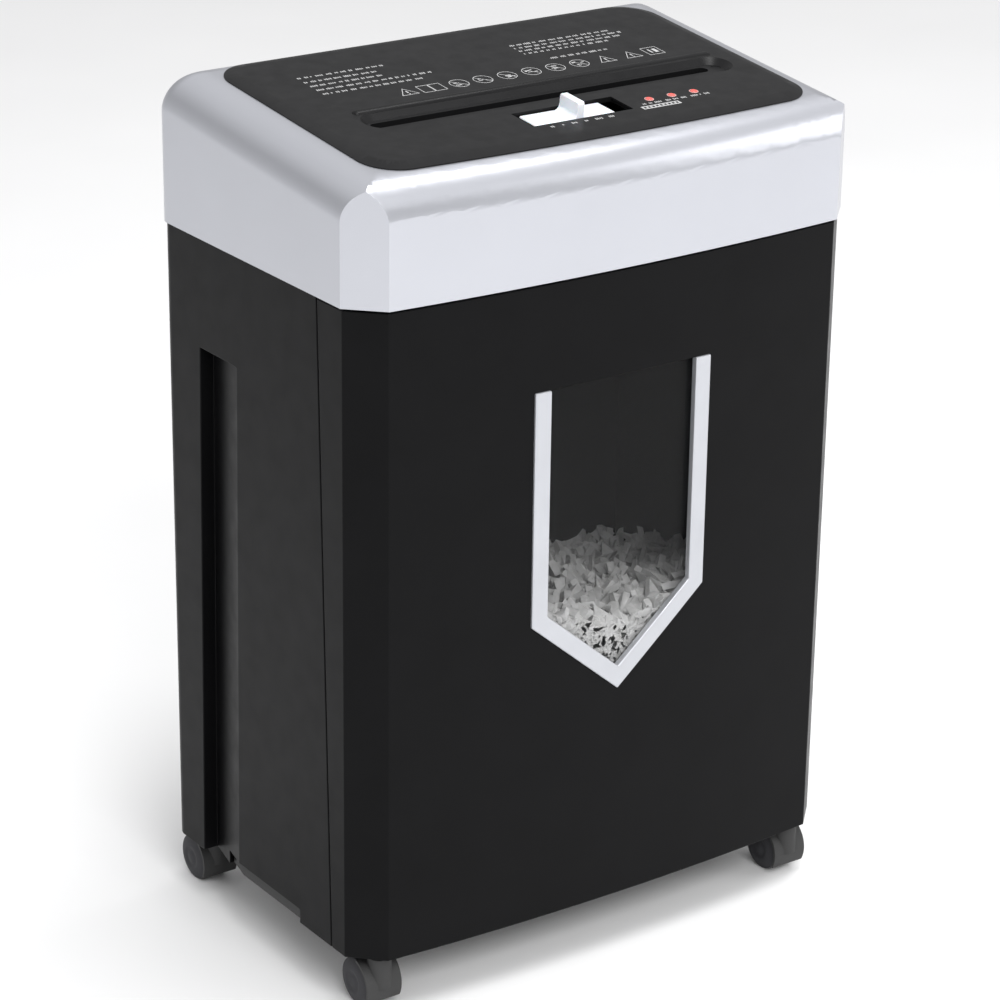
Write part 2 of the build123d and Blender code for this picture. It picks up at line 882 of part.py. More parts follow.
with BuildPart() as motor_fan:
    add(bar_x(motor_y, motor_z, fan_hub, fan_low, fan_high))
    with BuildSketch(Plane.YZ.offset(fan_low + 1)):
        with Locations((motor_y, motor_z)):
            with PolarLocations(fan_radius / 2, fan_blades):
                Rectangle(fan_radius, fan_blade, rotation=fan_twist)
    extrude(amount=fan_width - 2)
    add(bar_x(motor_y, motor_z, shaft_radius, fan_low, fan_high), mode=Mode.SUBTRACT)
save(motor_fan, "motor_fan")

# ---------------------------------------------------------------- gear cover
with BuildPart() as gear_cover:
    with BuildSketch(Plane.YZ.offset(plate_out)):
        add(cover_outline(cover_wall))
    extrude(amount=cover_out - plate_out)
    with BuildSketch(Plane.YZ.offset(plate_out)):
        add(cover_outline(0))
    extrude(amount=cover_inside - plate_out, mode=Mode.SUBTRACT)
save(gear_cover, "gear_cover")

with BuildPart() as gear_cover_screws:
    for y in (cover_front + screw_inset, cover_rear - screw_inset):
        for z in (cover_low + screw_inset, top_z(y, cover_drop + cover_wall + screw_inset)):
            add(bar_x(y, z, screw_radius, cover_out, cover_out + screw_head))
save(gear_cover_screws, "gear_cover_screws")

# ---------------------------------------------------------------- head tray
tray_inset = body_inset + body_wall + tray_clear
flange_inset = head_wall + 0.3
flange_top = head_bottom + 3.0
chute_half = 112.0
chute_front = front_axis - 24.0
chute_back = rear_axis + 22.0
board_level = tray_floor + 8.0
pcb_left = -105.0
pcb_right = -5.0
pcb_front = middle_y + 28.0
pcb_back = middle_y + 82.0
pcb_inset = 5.0
stand_radius = 3.0
tray_screw_x = head_width / 2 - 9.0
tray_screw_places = [(side * tray_screw_x, middle_y + y) for side in (-1, 1) for y in (-70, 0, 70)]

pcb_corners = []
for x in (pcb_left + pcb_inset, pcb_right - pcb_inset):
    for y in (pcb_front + pcb_inset, pcb_back - pcb_inset):
        pcb_corners.append((x, y))

with BuildPart() as head_tray:
    add(body_block(flange_inset, head_bottom, flange_top))
    add(body_block(tray_inset, tray_floor, head_bottom))
    add(body_block(tray_inset + tray_wall, tray_floor + tray_wall, flange_top), mode=Mode.SUBTRACT)
    low_corner = (-chute_half, chute_front, tray_floor)
    high_corner = (chute_half, chute_back, tray_floor + tray_wall)
    add(box_between(low_corner, high_corner), mode=Mode.SUBTRACT)
    for x, y in pcb_corners:
        add(bar_z(x, y, stand_radius, tray_floor + tray_wall, board_level))
save(head_tray, "head_tray")

with BuildPart() as tray_screws:
    for x, y in tray_screw_places:
        add(bar_z(x, y, screw_radius, flange_top, flange_top + screw_head))
save(tray_screws, "tray_screws")

# ---------------------------------------------------------------- control board
pcb_top = board_level + board_thickness
part_rows = (
    ((-100, 44), (-70, 72), 30),
    ((-64, 40), (-46, 58), 16),
    ((-40, 60), (-20, 72), 12),
    ((-42, 34), (-14, 40), 9),
)
can_places = ((-56.0, 70.0, 6.0, 24.0), (-30.0, 50.0, 4.0, 14.0))

with BuildPart() as control_board:
    add(box_between((pcb_left, pcb_front, board_level), (pcb_right, pcb_back, pcb_top)))
    for (x_low, y_low), (x_high, y_high), height in part_rows:
        low_corner = (x_low, middle_y + y_low, pcb_top)
        add(box_between(low_corner, (x_high, middle_y + y_high, pcb_top + height)))
    for x, y, radius, height in can_places:
        add(bar_z(x, middle_y + y, radius, pcb_top, pcb_top + height))
save(control_board, "control_board")

with BuildPart() as board_screws:
    for x, y in pcb_corners:
        add(bar_z(x, y, screw_radius, pcb_top, pcb_top + screw_head))
save(board_screws, "board_screws")

# ---------------------------------------------------------------- bin-in-place sensor and its magnet
sensor_gap = 1.0
magnet_depth = tray_clear / 2 - sensor_gap
switch_low = tray_floor + 4.0
switch_high = switch_low + 14.0
switch_left = -130.0
switch_right = -110.0


def front_pad(inset, thickness):
    """Small block that follows the front's bow, beside the tray's front left corner."""
    with BuildPart(mode=Mode.PRIVATE) as pad:
        add(skin(inset, thickness, switch_low, switch_high))
        low_corner = (switch_left, front_y - front_bow, switch_low)
        add(box_between(low_corner, (switch_right, middle_y, switch_high)), mode=Mode.INTERSECT)
    return pad.part


with BuildPart() as bin_sensor:
    add(front_pad(tray_inset - tray_clear / 2, tray_clear / 2))
save(bin_sensor, "bin_sensor")

with BuildPart() as bin_magnet:
    add(front_pad(body_inset + body_wall, magnet_depth))
save(bin_magnet, "bin_magnet")

# ---------------------------------------------------------------- bin
wall_inside = body_inset + body_wall
window_outline = window_points(0)
frame_opening = window_points(-frame_side)
frame_opening[0] = (frame_opening[0][0], window_top + 1)
frame_opening[1] = (frame_opening[1][0], window_top + 1)

with BuildPart() as bin_front:
    add(skin(body_inset, body_wall, body_bottom, head_bottom - top_gap))
    split(bisect_by=seam_plane(-gap / 2), keep=Keep.BOTTOM)
    add(window_prism(window_outline), mode=Mode.SUBTRACT)
save(bin_front, "bin_front")

with BuildPart() as window_frame:
    frame_out = body_inset - frame_raise
    add(skin(frame_out, wall_inside - frame_out, body_bottom, head_bottom))
    add(window_prism(window_outline), mode=Mode.INTERSECT)
    add(window_prism(frame_opening), mode=Mode.SUBTRACT)
save(window_frame, "window_frame")

with BuildPart() as window_pane:
    add(skin(wall_inside, pane_thickness, body_bottom, head_bottom))
    add(window_prism(window_points(pane_land)), mode=Mode.INTERSECT)
save(window_pane, "window_pane")

rail_top = body_bottom + base_thickness + rail_height
bin_low = rail_top + 0.3
bin_back = back_y - bin_back_clear

with BuildPart() as bin_tub:
    add(body_block(wall_inside, bin_low, bin_top))
    low_corner = (-bin_half, front_y - front_bow, bin_low)
    add(box_between(low_corner, (bin_half, bin_back, bin_top)), mode=Mode.INTERSECT)
    low_corner = (-bin_half + bin_wall, front_y - front_bow, bin_low + bin_wall)
    add(box_between(low_corner, (bin_half - bin_wall, bin_back - bin_wall, bin_top)), mode=Mode.SUBTRACT)
save(bin_tub, "bin_tub")

# ---------------------------------------------------------------- cabinet
with BuildPart() as cabinet_inside:
    add(body_block(wall_inside, body_bottom, head_bottom))
    for side in (-1, 1):
        add(wedge(side, body_wall), mode=Mode.SUBTRACT)

with BuildPart() as cabinet_shell:
    add(body_block(body_inset, body_bottom, head_bottom))
    for side in (-1, 1):
        add(wedge(side, 0), mode=Mode.SUBTRACT)
    add(cabinet_inside.part, mode=Mode.SUBTRACT)
    split(bisect_by=seam_plane(gap / 2), keep=Keep.TOP)
    half = head_width / 2
    sill = box_between((-half, sill_front_y, body_bottom), (half, sill_back_y, body_bottom + sill_height))
    add(sill, mode=Mode.SUBTRACT)
save(cabinet_shell, "cabinet_shell")

boss_radius = 7.5
boss_top = stem_top + 1.0
stem_places = []
for side, x in (("left", -caster_x), ("right", caster_x)):
    stem_places.append(("front_" + side, x, front_stem_y))
    stem_places.append(("rear_" + side, x, rear_stem_y))

with BuildPart() as base_front:
    add(body_block(wall_inside + slide_gap, body_bottom, body_bottom + base_thickness))
    split(bisect_by=seam_plane(gap / 2), keep=Keep.BOTTOM)

with BuildPart() as cabinet_base:
    add(body_block(wall_inside, body_bottom, body_bottom + base_thickness))
    add(skin(wall_inside, body_wall, body_bottom, body_bottom + base_rim))
    split(bisect_by=seam_plane(gap / 2), keep=Keep.TOP)
    add(base_front.part)
    for side in (-1, 1):
        add(wedge(side, body_wall), mode=Mode.SUBTRACT)
    for name, x, y in stem_places:
        add(bar_z(x, y, boss_radius, body_bottom, boss_top))
        add(bar_z(x, y, stem_radius, body_bottom, stem_top), mode=Mode.SUBTRACT)
save(cabinet_base, "cabinet_base")

rail_half = 93.0
with BuildPart() as bin_rails:
    for x in (-rail_x, rail_x):
        low_corner = (x - rail_width / 2, middle_y - rail_half, body_bottom + base_thickness)
        add(box_between(low_corner, (x + rail_width / 2, middle_y + rail_half, rail_top)))
save(bin_rails, "bin_rails")

# ---------------------------------------------------------------- casters
with BuildPart() as caster_stems:
    for name, x, y in stem_places:
        add(bar_z(x, y, stem_radius, stem_bottom, stem_top))
save(caster_stems, "caster_stems")

guard_inner = wheel_radius + hood_gap
guard_outer = guard_inner + hood_wall
guard_low = -30.0                   # degrees above the front of the wheel
guard_high = 75.0
guard_half = wheel_track / 2 + wheel_width / 2 + 0.3
web_radius = 11.0
pin_half = 9.5
dome = 2.4                          # how far a wheel's domed face stands out past its tread
crown_radius = 7.0
dome_radius = 14.0


def guard_point(radius, angle, y):
    """Point round the wheel's axis, at an angle above the front."""
    turn = radians(angle)
    return (y - radius * cos(turn), wheel_radius + radius * sin(turn))


def guard_sector(x, y, inner, half_width):
    """Sector of a ring round the wheel's axis, between the guard's two angles."""
    middle = (guard_low + guard_high) / 2
    with BuildPart(mode=Mode.PRIVATE) as sector:
        with BuildSketch(Plane.YZ.offset(x - half_width)):
            with BuildLine():
                outer_arc = [guard_point(guard_outer, a, y) for a in (guard_low, middle, guard_high)]
                ThreePointArc(*outer_arc)
                if inner:
                    inner_arc = [guard_point(inner, a, y) for a in (guard_high, middle, guard_low)]
                    ThreePointArc(*inner_arc)
                    Line(outer_arc[2], inner_arc[0])
                    Line(inner_arc[2], outer_arc[0])
                else:
                    Line(outer_arc[2], (y, wheel_radius))
                    Line((y, wheel_radius), outer_arc[0])
            make_face()
        extrude(amount=2 * half_width)
    return sector.part


def caster_hood(x, y):
    """Swivelling housing of a caster: hub, guard over both wheels and web between them."""
    axle_y = y + caster_trail
    with BuildPart() as hood:
        add(guard_sector(x, axle_y, guard_inner, guard_half))
        add(guard_sector(x, axle_y, 0, web_half))
        add(bar_x(axle_y, wheel_radius, web_radius, x - web_half, x + web_half))
        add(bar_z(x, y, hub_radius, wheel_radius, hub_top))
        for side in (-1, 1):
            near, far = sorted((side * web_half, side * guard_half * 2))
            add(bar_x(axle_y, wheel_radius, guard_inner, x + near, x + far), mode=Mode.SUBTRACT)
        add(bar_z(x, y, stem_radius + running, stem_bottom - running, hub_top), mode=Mode.SUBTRACT)
        add(bar_x(axle_y, wheel_radius, pin_radius, x - web_half, x + web_half), mode=Mode.SUBTRACT)
    return hood


def caster_wheel(x, y, side):
    """Wheel with a domed outer face and a blind bore, on one side of the caster."""
    start = x + side * (wheel_track - wheel_width) / 2
    rim = start + side * (wheel_width - dome)
    stop = start + side * wheel_width
    bore_end = x + side * (pin_half + running)
    tread_y = y - wheel_radius
    crown_y = y - crown_radius
    with BuildPart() as wheel:
        with BuildSketch(Plane.XY.offset(wheel_radius)):
            with BuildLine():
                Polyline((stop, crown_y), (stop, y), (start, y), (start, tread_y), (rim, tread_y))
                RadiusArc((rim, tread_y), (stop, crown_y), -side * dome_radius)
            make_face()
        revolve(axis=Axis((0, y, wheel_radius), (1, 0, 0)))
        near, far = sorted((start, bore_end))
        add(bar_x(y, wheel_radius, pin_radius + running, near, far), mode=Mode.SUBTRACT)
    return wheel


for name, x, y in stem_places:
    axle_y = y + caster_trail
    save(caster_hood(x, y), f"{name}_caster_hood")
    with BuildPart() as caster_axle:
        add(bar_x(axle_y, wheel_radius, pin_radius, x - pin_half, x + pin_half))
    save(caster_axle, f"{name}_caster_axle")
    save(caster_wheel(x, axle_y, -1), f"{name}_caster_wheel_left")
    save(caster_wheel(x, axle_y, 1), f"{name}_caster_wheel_right")
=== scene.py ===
"""Paper shredder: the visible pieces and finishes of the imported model.

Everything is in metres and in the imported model's own frame: X to the right, Y to the back,
Z up, with the origin on the floor under the middle of the object.
"""
import json
import logging
import random
from collections.abc import Callable, Sequence
from dataclasses import dataclass, field
from enum import Enum
from functools import cached_property
from math import cos, pi, radians, sin

import bpy
from mathutils import Matrix, Vector


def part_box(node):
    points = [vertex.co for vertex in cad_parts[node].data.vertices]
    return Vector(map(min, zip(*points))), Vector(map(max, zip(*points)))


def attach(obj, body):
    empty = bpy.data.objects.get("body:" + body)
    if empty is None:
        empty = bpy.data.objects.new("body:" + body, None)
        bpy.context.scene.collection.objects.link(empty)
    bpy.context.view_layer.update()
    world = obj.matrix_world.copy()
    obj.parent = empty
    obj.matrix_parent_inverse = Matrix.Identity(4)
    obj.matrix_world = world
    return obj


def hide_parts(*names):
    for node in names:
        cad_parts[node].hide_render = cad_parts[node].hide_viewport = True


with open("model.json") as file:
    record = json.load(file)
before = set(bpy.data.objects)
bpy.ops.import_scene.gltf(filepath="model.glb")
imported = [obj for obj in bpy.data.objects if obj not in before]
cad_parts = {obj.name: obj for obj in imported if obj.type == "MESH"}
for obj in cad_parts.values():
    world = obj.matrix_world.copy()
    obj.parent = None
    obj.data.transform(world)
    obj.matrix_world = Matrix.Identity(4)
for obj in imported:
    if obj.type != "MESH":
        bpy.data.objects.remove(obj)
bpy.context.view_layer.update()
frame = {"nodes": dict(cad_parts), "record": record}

NODES = frame["nodes"]
MM = 0.001

LOG = logging.getLogger("shredder")
logging.basicConfig(level=logging.INFO, format="%(name)s: %(message)s")

Object = bpy.types.Object
Colour = tuple[float, float, float]
Point = tuple[float, float, float]
FaceTest = Callable[[Vector, Vector], bool]
Note = tuple[float, float, tuple[float, ...], tuple[float, ...]]  # left, right, rows, shares


# ------------------------------------------------------------------------------ finishes
COAT_ROUGHNESS = 0.12
SCATTER_DEPTH = 1.5 * MM
NOISE_LOW = 0.3          # the usual range of a noise's values
NOISE_HIGH = 0.7
SMEAR_SHARE = 0.4        # size of the gloss patches against the colour patches
SMEAR_DETAIL = 5.0
LEAST_ROUGHNESS = 0.02
BUMP_STRENGTH = 0.5
EDGE_STARTS = 0.53       # pointiness at which an edge starts to look worn and to take a painted highlight
EDGE_SHARP = 0.62
WORN_AND_LIT = 0.75              # brightness of an edge that is worn and carries a painted highlight


class Texture(Enum):
    """The fine relief of a surface."""

    SPARKED = "fine sparked mould grain"
    PEBBLED = "rounded mould grain"
    BRUSHED = "lines drawn along one direction"
    FLAKED = "metal flakes under lacquer"
    FIBROUS = "short paper fibres"


@dataclass(frozen=True)
class Finish:
    """A surface finish, worked out from object coordinates.

    The patches vary the colour and the gloss over some centimetres, the grain is the
    relief of the surface itself, and the lightened edges stand for rubbed wear and a painted highlight.
    """

    name: str
    colour: Colour
    roughness: float
    metallic: float = 0.0
    coat: float = 0.0
    specular: float = 0.5
    alpha: float = 1.0
    texture: Texture = Texture.SPARKED
    grain_size: float = 0.45 * MM
    grain_depth: float = 0.012 * MM
    patch: float = 0.06
    patch_size: float = 35 * MM
    gloss_spread: float = 0.06
    # How far edges are lightened: partly rubbed wear, partly a painted highlight.
    wear_and_sheen: float = 0.0
    glow: float = 0.0
    scatter: float = 0.0
    stretch: Point = (1.0, 1.0, 1.0)

    def material(self) -> bpy.types.Material:
        """Makes the material on first use, and gives the same one after that.

        Returns:
            The finished node material.
        """
        known = bpy.data.materials.get(self.name)
        if known:
            return known
        material = bpy.data.materials.new(self.name)
        material.use_nodes = True
        tree = material.node_tree
        shader = tree.nodes["Principled BSDF"]
        shader.inputs["Metallic"].default_value = self.metallic
        shader.inputs["Coat Weight"].default_value = self.coat
        shader.inputs["Coat Roughness"].default_value = COAT_ROUGHNESS
        shader.inputs["Specular IOR Level"].default_value = self.specular
        if self.alpha < 1.0:
            shader.inputs["Alpha"].default_value = self.alpha
        if self.scatter:
            shader.inputs["Subsurface Weight"].default_value = self.scatter
            shader.inputs["Subsurface Scale"].default_value = SCATTER_DEPTH
        if self.glow:
            shader.inputs["Emission Color"].default_value = (*self.colour, 1.0)
            shader.inputs["Emission Strength"].default_value = self.glow
        coords = tree.nodes.new("ShaderNodeTexCoord").outputs["Object"]
        self._tint(tree, shader, coords)
        self._gloss(tree, shader, coords)
        self._relief(tree, shader, coords)
        return material

    def _noise(self, tree: bpy.types.NodeTree, coords: bpy.types.NodeSocket, size: float,
               detail: float = 3.0) -> bpy.types.Node:
        """Adds a noise texture whose features are about a given size.

        Args:
            tree: The material's node tree.
            coords: The coordinates to read.
            size: The features' size in metres.
            detail: How many finer layers are laid over it.

        Returns:
            The noise node.
        """
        noise = tree.nodes.new("ShaderNodeTexNoise")
        noise.inputs["Scale"].default_value = 1.0 / size
        noise.inputs["Detail"].default_value = detail
        tree.links.new(coords, noise.inputs["Vector"])
        return noise

    def _spread(self, tree: bpy.types.NodeTree, value: bpy.types.NodeSocket, low: float,
                high: float) -> bpy.types.NodeSocket:
        """Spreads a noise's usual values over a range.

        Args:
            tree: The material's node tree.
            value: The noise's output.
            low: The result where the noise is low.
            high: The result where the noise is high.

        Returns:
            The output that holds the result.
        """
        spread = tree.nodes.new("ShaderNodeMapRange")
        spread.inputs["From Min"].default_value = NOISE_LOW
        spread.inputs["From Max"].default_value = NOISE_HIGH
        spread.inputs["To Min"].default_value = low
        spread.inputs["To Max"].default_value = high
        tree.links.new(value, spread.inputs["Value"])
        return spread.outputs["Result"]

    def _tint(self, tree: bpy.types.NodeTree, shader: bpy.types.Node,
              coords: bpy.types.NodeSocket) -> None:
        """Varies the colour in soft patches, and lightens edges as wear and as a painted highlight.

        Args:
            tree: The material's node tree.
            shader: The surface shader.
            coords: The object coordinates.
        """
        patches = self._noise(tree, coords, self.patch_size)
        shade = tree.nodes.new("ShaderNodeMix")
        shade.data_type = "RGBA"
        shade.inputs["A"].default_value = (*(c * (1 - self.patch) for c in self.colour), 1.0)
        shade.inputs["B"].default_value = (*(min(c * (1 + self.patch), 1.0) for c in self.colour), 1.0)
        tree.links.new(self._spread(tree, patches.outputs["Fac"], 0.0, 1.0), shade.inputs["Factor"])
        result = shade.outputs["Result"]
        # Lightened edges: partly wear, partly a painted highlight along the rounded edges.
        if self.wear_and_sheen:
            shape = tree.nodes.new("ShaderNodeNewGeometry")
            edge = tree.nodes.new("ShaderNodeMapRange")
            edge.inputs["From Min"].default_value = EDGE_STARTS
            edge.inputs["From Max"].default_value = EDGE_SHARP
            edge.inputs["To Max"].default_value = self.wear_and_sheen
            tree.links.new(shape.outputs["Pointiness"], edge.inputs["Value"])
            rub_and_sheen = tree.nodes.new("ShaderNodeMix")
            rub_and_sheen.data_type = "RGBA"
            rub_and_sheen.inputs["B"].default_value = (WORN_AND_LIT, WORN_AND_LIT, WORN_AND_LIT, 1.0)
            tree.links.new(edge.outputs["Result"], rub_and_sheen.inputs["Factor"])
            tree.links.new(result, rub_and_sheen.inputs["A"])
            result = rub_and_sheen.outputs["Result"]
        tree.links.new(result, shader.inputs["Base Color"])

    def _gloss(self, tree: bpy.types.NodeTree, shader: bpy.types.Node,
               coords: bpy.types.NodeSocket) -> None:
        """Varies the roughness, as handling and moulding do.

        Args:
            tree: The material's node tree.
            shader: The surface shader.
            coords: The object coordinates.
        """
        smears = self._noise(tree, coords, self.patch_size * SMEAR_SHARE, SMEAR_DETAIL)
        low = max(self.roughness - self.gloss_spread, LEAST_ROUGHNESS)
        high = min(self.roughness + self.gloss_spread, 1.0)
        tree.links.new(self._spread(tree, smears.outputs["Fac"], low, high), shader.inputs["Roughness"])

    def _relief(self, tree: bpy.types.NodeTree, shader: bpy.types.Node,
                coords: bpy.types.NodeSocket) -> None:
        """Gives the surface its fine relief.

        Args:
            tree: The material's node tree.
            shader: The surface shader.
            coords: The object coordinates.
        """
        stretch = tree.nodes.new("ShaderNodeMapping")
        stretch.inputs["Scale"].default_value = self.stretch
        tree.links.new(coords, stretch.inputs["Vector"])
        if self.texture in (Texture.PEBBLED, Texture.FLAKED):
            cells = tree.nodes.new("ShaderNodeTexVoronoi")
            cells.feature = "SMOOTH_F1" if self.texture is Texture.PEBBLED else "F1"
            cells.inputs["Scale"].default_value = 1.0 / self.grain_size
            tree.links.new(stretch.outputs["Vector"], cells.inputs["Vector"])
            height = cells.outputs["Distance"]
        else:
            height = self._noise(tree, stretch.outputs["Vector"], self.grain_size, 2.0).outputs["Fac"]
        bump = tree.nodes.new("ShaderNodeBump")
        bump.inputs["Strength"].default_value = BUMP_STRENGTH
        bump.inputs["Distance"].default_value = self.grain_depth
        tree.links.new(height, bump.inputs["Height"])
        tree.links.new(bump.outputs["Normal"], shader.inputs["Normal"])


SILVER_PAINT = Finish("silver_paint", (0.52, 0.53, 0.57), 0.30, metallic=0.70, coat=0.15,
                      texture=Texture.FLAKED, grain_size=0.16 * MM, grain_depth=0.0006 * MM,
                      patch=0.01, patch_size=60 * MM, gloss_spread=0.006)
FRAME_PAINT = Finish("frame_paint", (0.50, 0.51, 0.54), 0.36, metallic=0.55, coat=0.1,
                     texture=Texture.FLAKED, grain_size=0.18 * MM, grain_depth=0.003 * MM,
                     patch=0.03)
SATIN_BLACK = Finish("satin_black", (0.004, 0.004, 0.0044), 0.36, specular=0.08, grain_size=0.5 * MM,
                     grain_depth=0.010 * MM,
                     patch=0.10, gloss_spread=0.05)
PANEL_BLACK = Finish("panel_black", (0.008, 0.008, 0.0085), 0.36, specular=0.16,
                     grain_size=0.35 * MM, grain_depth=0.008 * MM,
                     patch=0.08, patch_size=25 * MM)
INNER_BLACK = Finish("inner_black", (0.006, 0.006, 0.0065), 0.55, specular=0.15,
                     texture=Texture.PEBBLED, grain_size=0.8 * MM, grain_depth=0.02 * MM, patch=0.12)
SWITCH_BLACK = Finish("switch_black", (0.035, 0.035, 0.038), 0.45, patch=0.08)
SLIDER_WHITE = Finish("slider_white", (0.80, 0.82, 0.86), 0.38, scatter=0.15,
                      grain_size=0.3 * MM, grain_depth=0.006 * MM, patch=0.02, patch_size=12 * MM)
PRINT_WHITE = Finish("print_white", (0.45, 0.45, 0.45), 0.6, patch=0.15, patch_size=1.5 * MM,
                     grain_size=0.2 * MM, grain_depth=0.01 * MM)
LENS_RED = Finish("lens_red", (0.55, 0.05, 0.04), 0.12, coat=0.6, scatter=0.3, patch=0.1,
                  patch_size=2 * MM, grain_depth=0.002 * MM)
RING_PINK = Finish("ring_pink", (0.72, 0.42, 0.40), 0.4, patch=0.1, patch_size=1 * MM)
SMOKED_CLEAR = Finish("smoked_clear", (0.012, 0.012, 0.013), 0.08, alpha=0.20, coat=0.05, specular=0.3,
                      grain_size=6 * MM, grain_depth=0.004 * MM, patch=0.05, gloss_spread=0.02)
PAPER = Finish("paper", (0.88, 0.88, 0.87), 0.85, specular=0.2, texture=Texture.FIBROUS,
               grain_size=0.25 * MM, grain_depth=0.03 * MM, patch=0.16, patch_size=7 * MM)
# Paper painted dark: the painted shade deep in the heap between the strips.
SHADED_PAPER_CORE = Finish("paper_core_painted_shade", (0.10, 0.10, 0.10), 0.9, specular=0.1, texture=Texture.FIBROUS,
                    grain_size=3.0 * MM, grain_depth=3.0 * MM, patch=0.5, patch_size=5 * MM)
# The edge lightening on the zinc plate is partly wear and partly a painted highlight.
ZINC_PLATE = Finish("zinc_plate", (0.62, 0.63, 0.66), 0.34, metallic=0.95,
                    texture=Texture.BRUSHED, grain_size=0.8 * MM, grain_depth=0.006 * MM,
                    patch=0.10, stretch=(1.0, 1.0, 0.08), wear_and_sheen=0.1)
BRIGHT_STEEL = Finish("bright_steel", (0.60, 0.60, 0.62), 0.24, metallic=1.0,
                      texture=Texture.BRUSHED, grain_size=0.3 * MM, grain_depth=0.003 * MM,
                      stretch=(1.0, 0.05, 0.05))
CUTTER_STEEL = Finish("cutter_steel", (0.42, 0.43, 0.45), 0.33, metallic=1.0,
                      texture=Texture.BRUSHED, grain_size=0.4 * MM, grain_depth=0.008 * MM,
                      patch=0.15, patch_size=12 * MM, stretch=(1.0, 0.2, 0.2))
SINTERED_STEEL = Finish("sintered_steel", (0.33, 0.33, 0.34), 0.48, metallic=0.9,
                        texture=Texture.PEBBLED, grain_size=0.5 * MM, grain_depth=0.02 * MM)
SINTERED_BRONZE = Finish("sintered_bronze", (0.52, 0.36, 0.18), 0.42, metallic=0.95,
                         texture=Texture.PEBBLED, grain_size=0.4 * MM, grain_depth=0.015 * MM)
NYLON_GREY = Finish("nylon_grey", (0.20, 0.205, 0.215), 0.5, grain_depth=0.02 * MM, patch=0.12)
ACETAL = Finish("acetal", (0.78, 0.77, 0.72), 0.42, scatter=0.2, grain_depth=0.01 * MM)
MOTOR_ENAMEL = Finish("motor_enamel", (0.06, 0.06, 0.065), 0.3, coat=0.4, patch=0.1)
BOARD_GREEN = Finish("board_green", (0.02, 0.13, 0.05), 0.35, coat=0.3, grain_size=1.2 * MM,
                     grain_depth=0.02 * MM, patch=0.2, patch_size=6 * MM)
RAIL_NYLON = Finish("rail_nylon", (0.66, 0.66, 0.63), 0.45, patch=0.08)
MAGNET_NICKEL = Finish("magnet_nickel", (0.5, 0.5, 0.52), 0.25, metallic=1.0)
# The caster edge lightening is partly wear and partly a painted highlight.
CASTER_BLACK = Finish("caster_black", (0.010, 0.010, 0.011), 0.34, specular=0.3,
                      grain_size=0.6 * MM, grain_depth=0.02 * MM, patch=0.12,
                      patch_size=8 * MM, wear_and_sheen=0.12)
WHEEL_BLACK = Finish("wheel_black", (0.009, 0.009, 0.010), 0.36, specular=0.3,
                     texture=Texture.PEBBLED, grain_size=0.9 * MM, grain_depth=0.02 * MM, patch=0.2,
                     patch_size=9 * MM, wear_and_sheen=0.08)
FLOOR_WHITE = Finish("floor_white", (0.88, 0.88, 0.88), 0.6, grain_size=4 * MM,
                     grain_depth=0.02 * MM, patch=0.01, patch_size=0.5)

SLOT_FINISHES = {
    "silver_shell": SILVER_PAINT, "black_trim": SATIN_BLACK, "black_panel": PANEL_BLACK,
    "black_body": SATIN_BLACK, "inner_black": INNER_BLACK, "white_slider": SLIDER_WHITE,
    "switch_black": SWITCH_BLACK, "circuit_green": BOARD_GREEN, "lens_red": LENS_RED,
    "plate_steel": ZINC_PLATE, "rod_steel": BRIGHT_STEEL, "bush_bronze": SINTERED_BRONZE,
    "cutter_steel": CUTTER_STEEL, "comb_grey": NYLON_GREY, "gear_steel": SINTERED_STEEL,
    "gear_acetal": ACETAL, "motor_enamel": MOTOR_ENAMEL, "screw_zinc": ZINC_PLATE,
    "magnet_steel": MAGNET_NICKEL, "frame_silver": FRAME_PAINT, "clear_pane": SMOKED_CLEAR,
    "rail_white": RAIL_NYLON, "caster_black": CASTER_BLACK, "wheel_black": WHEEL_BLACK,
}
SLOT_OF_NODE = {row["node"]: row["material_slot"] for row in frame["record"]["subparts"]}
BODY_OF_NODE = {
    node: body
    for body, members in frame["record"]["behaviour"]["bodies"].items()
    for node in members
}


# ------------------------------------------------------------------------------ hand tools
UPRIGHT = 0.9            # least share of a normal along an axis to count as facing it
SAME_PLACE = 0.002 * MM
AREA_WEIGHT = 60         # how far large faces rule the shading of the rounded edges


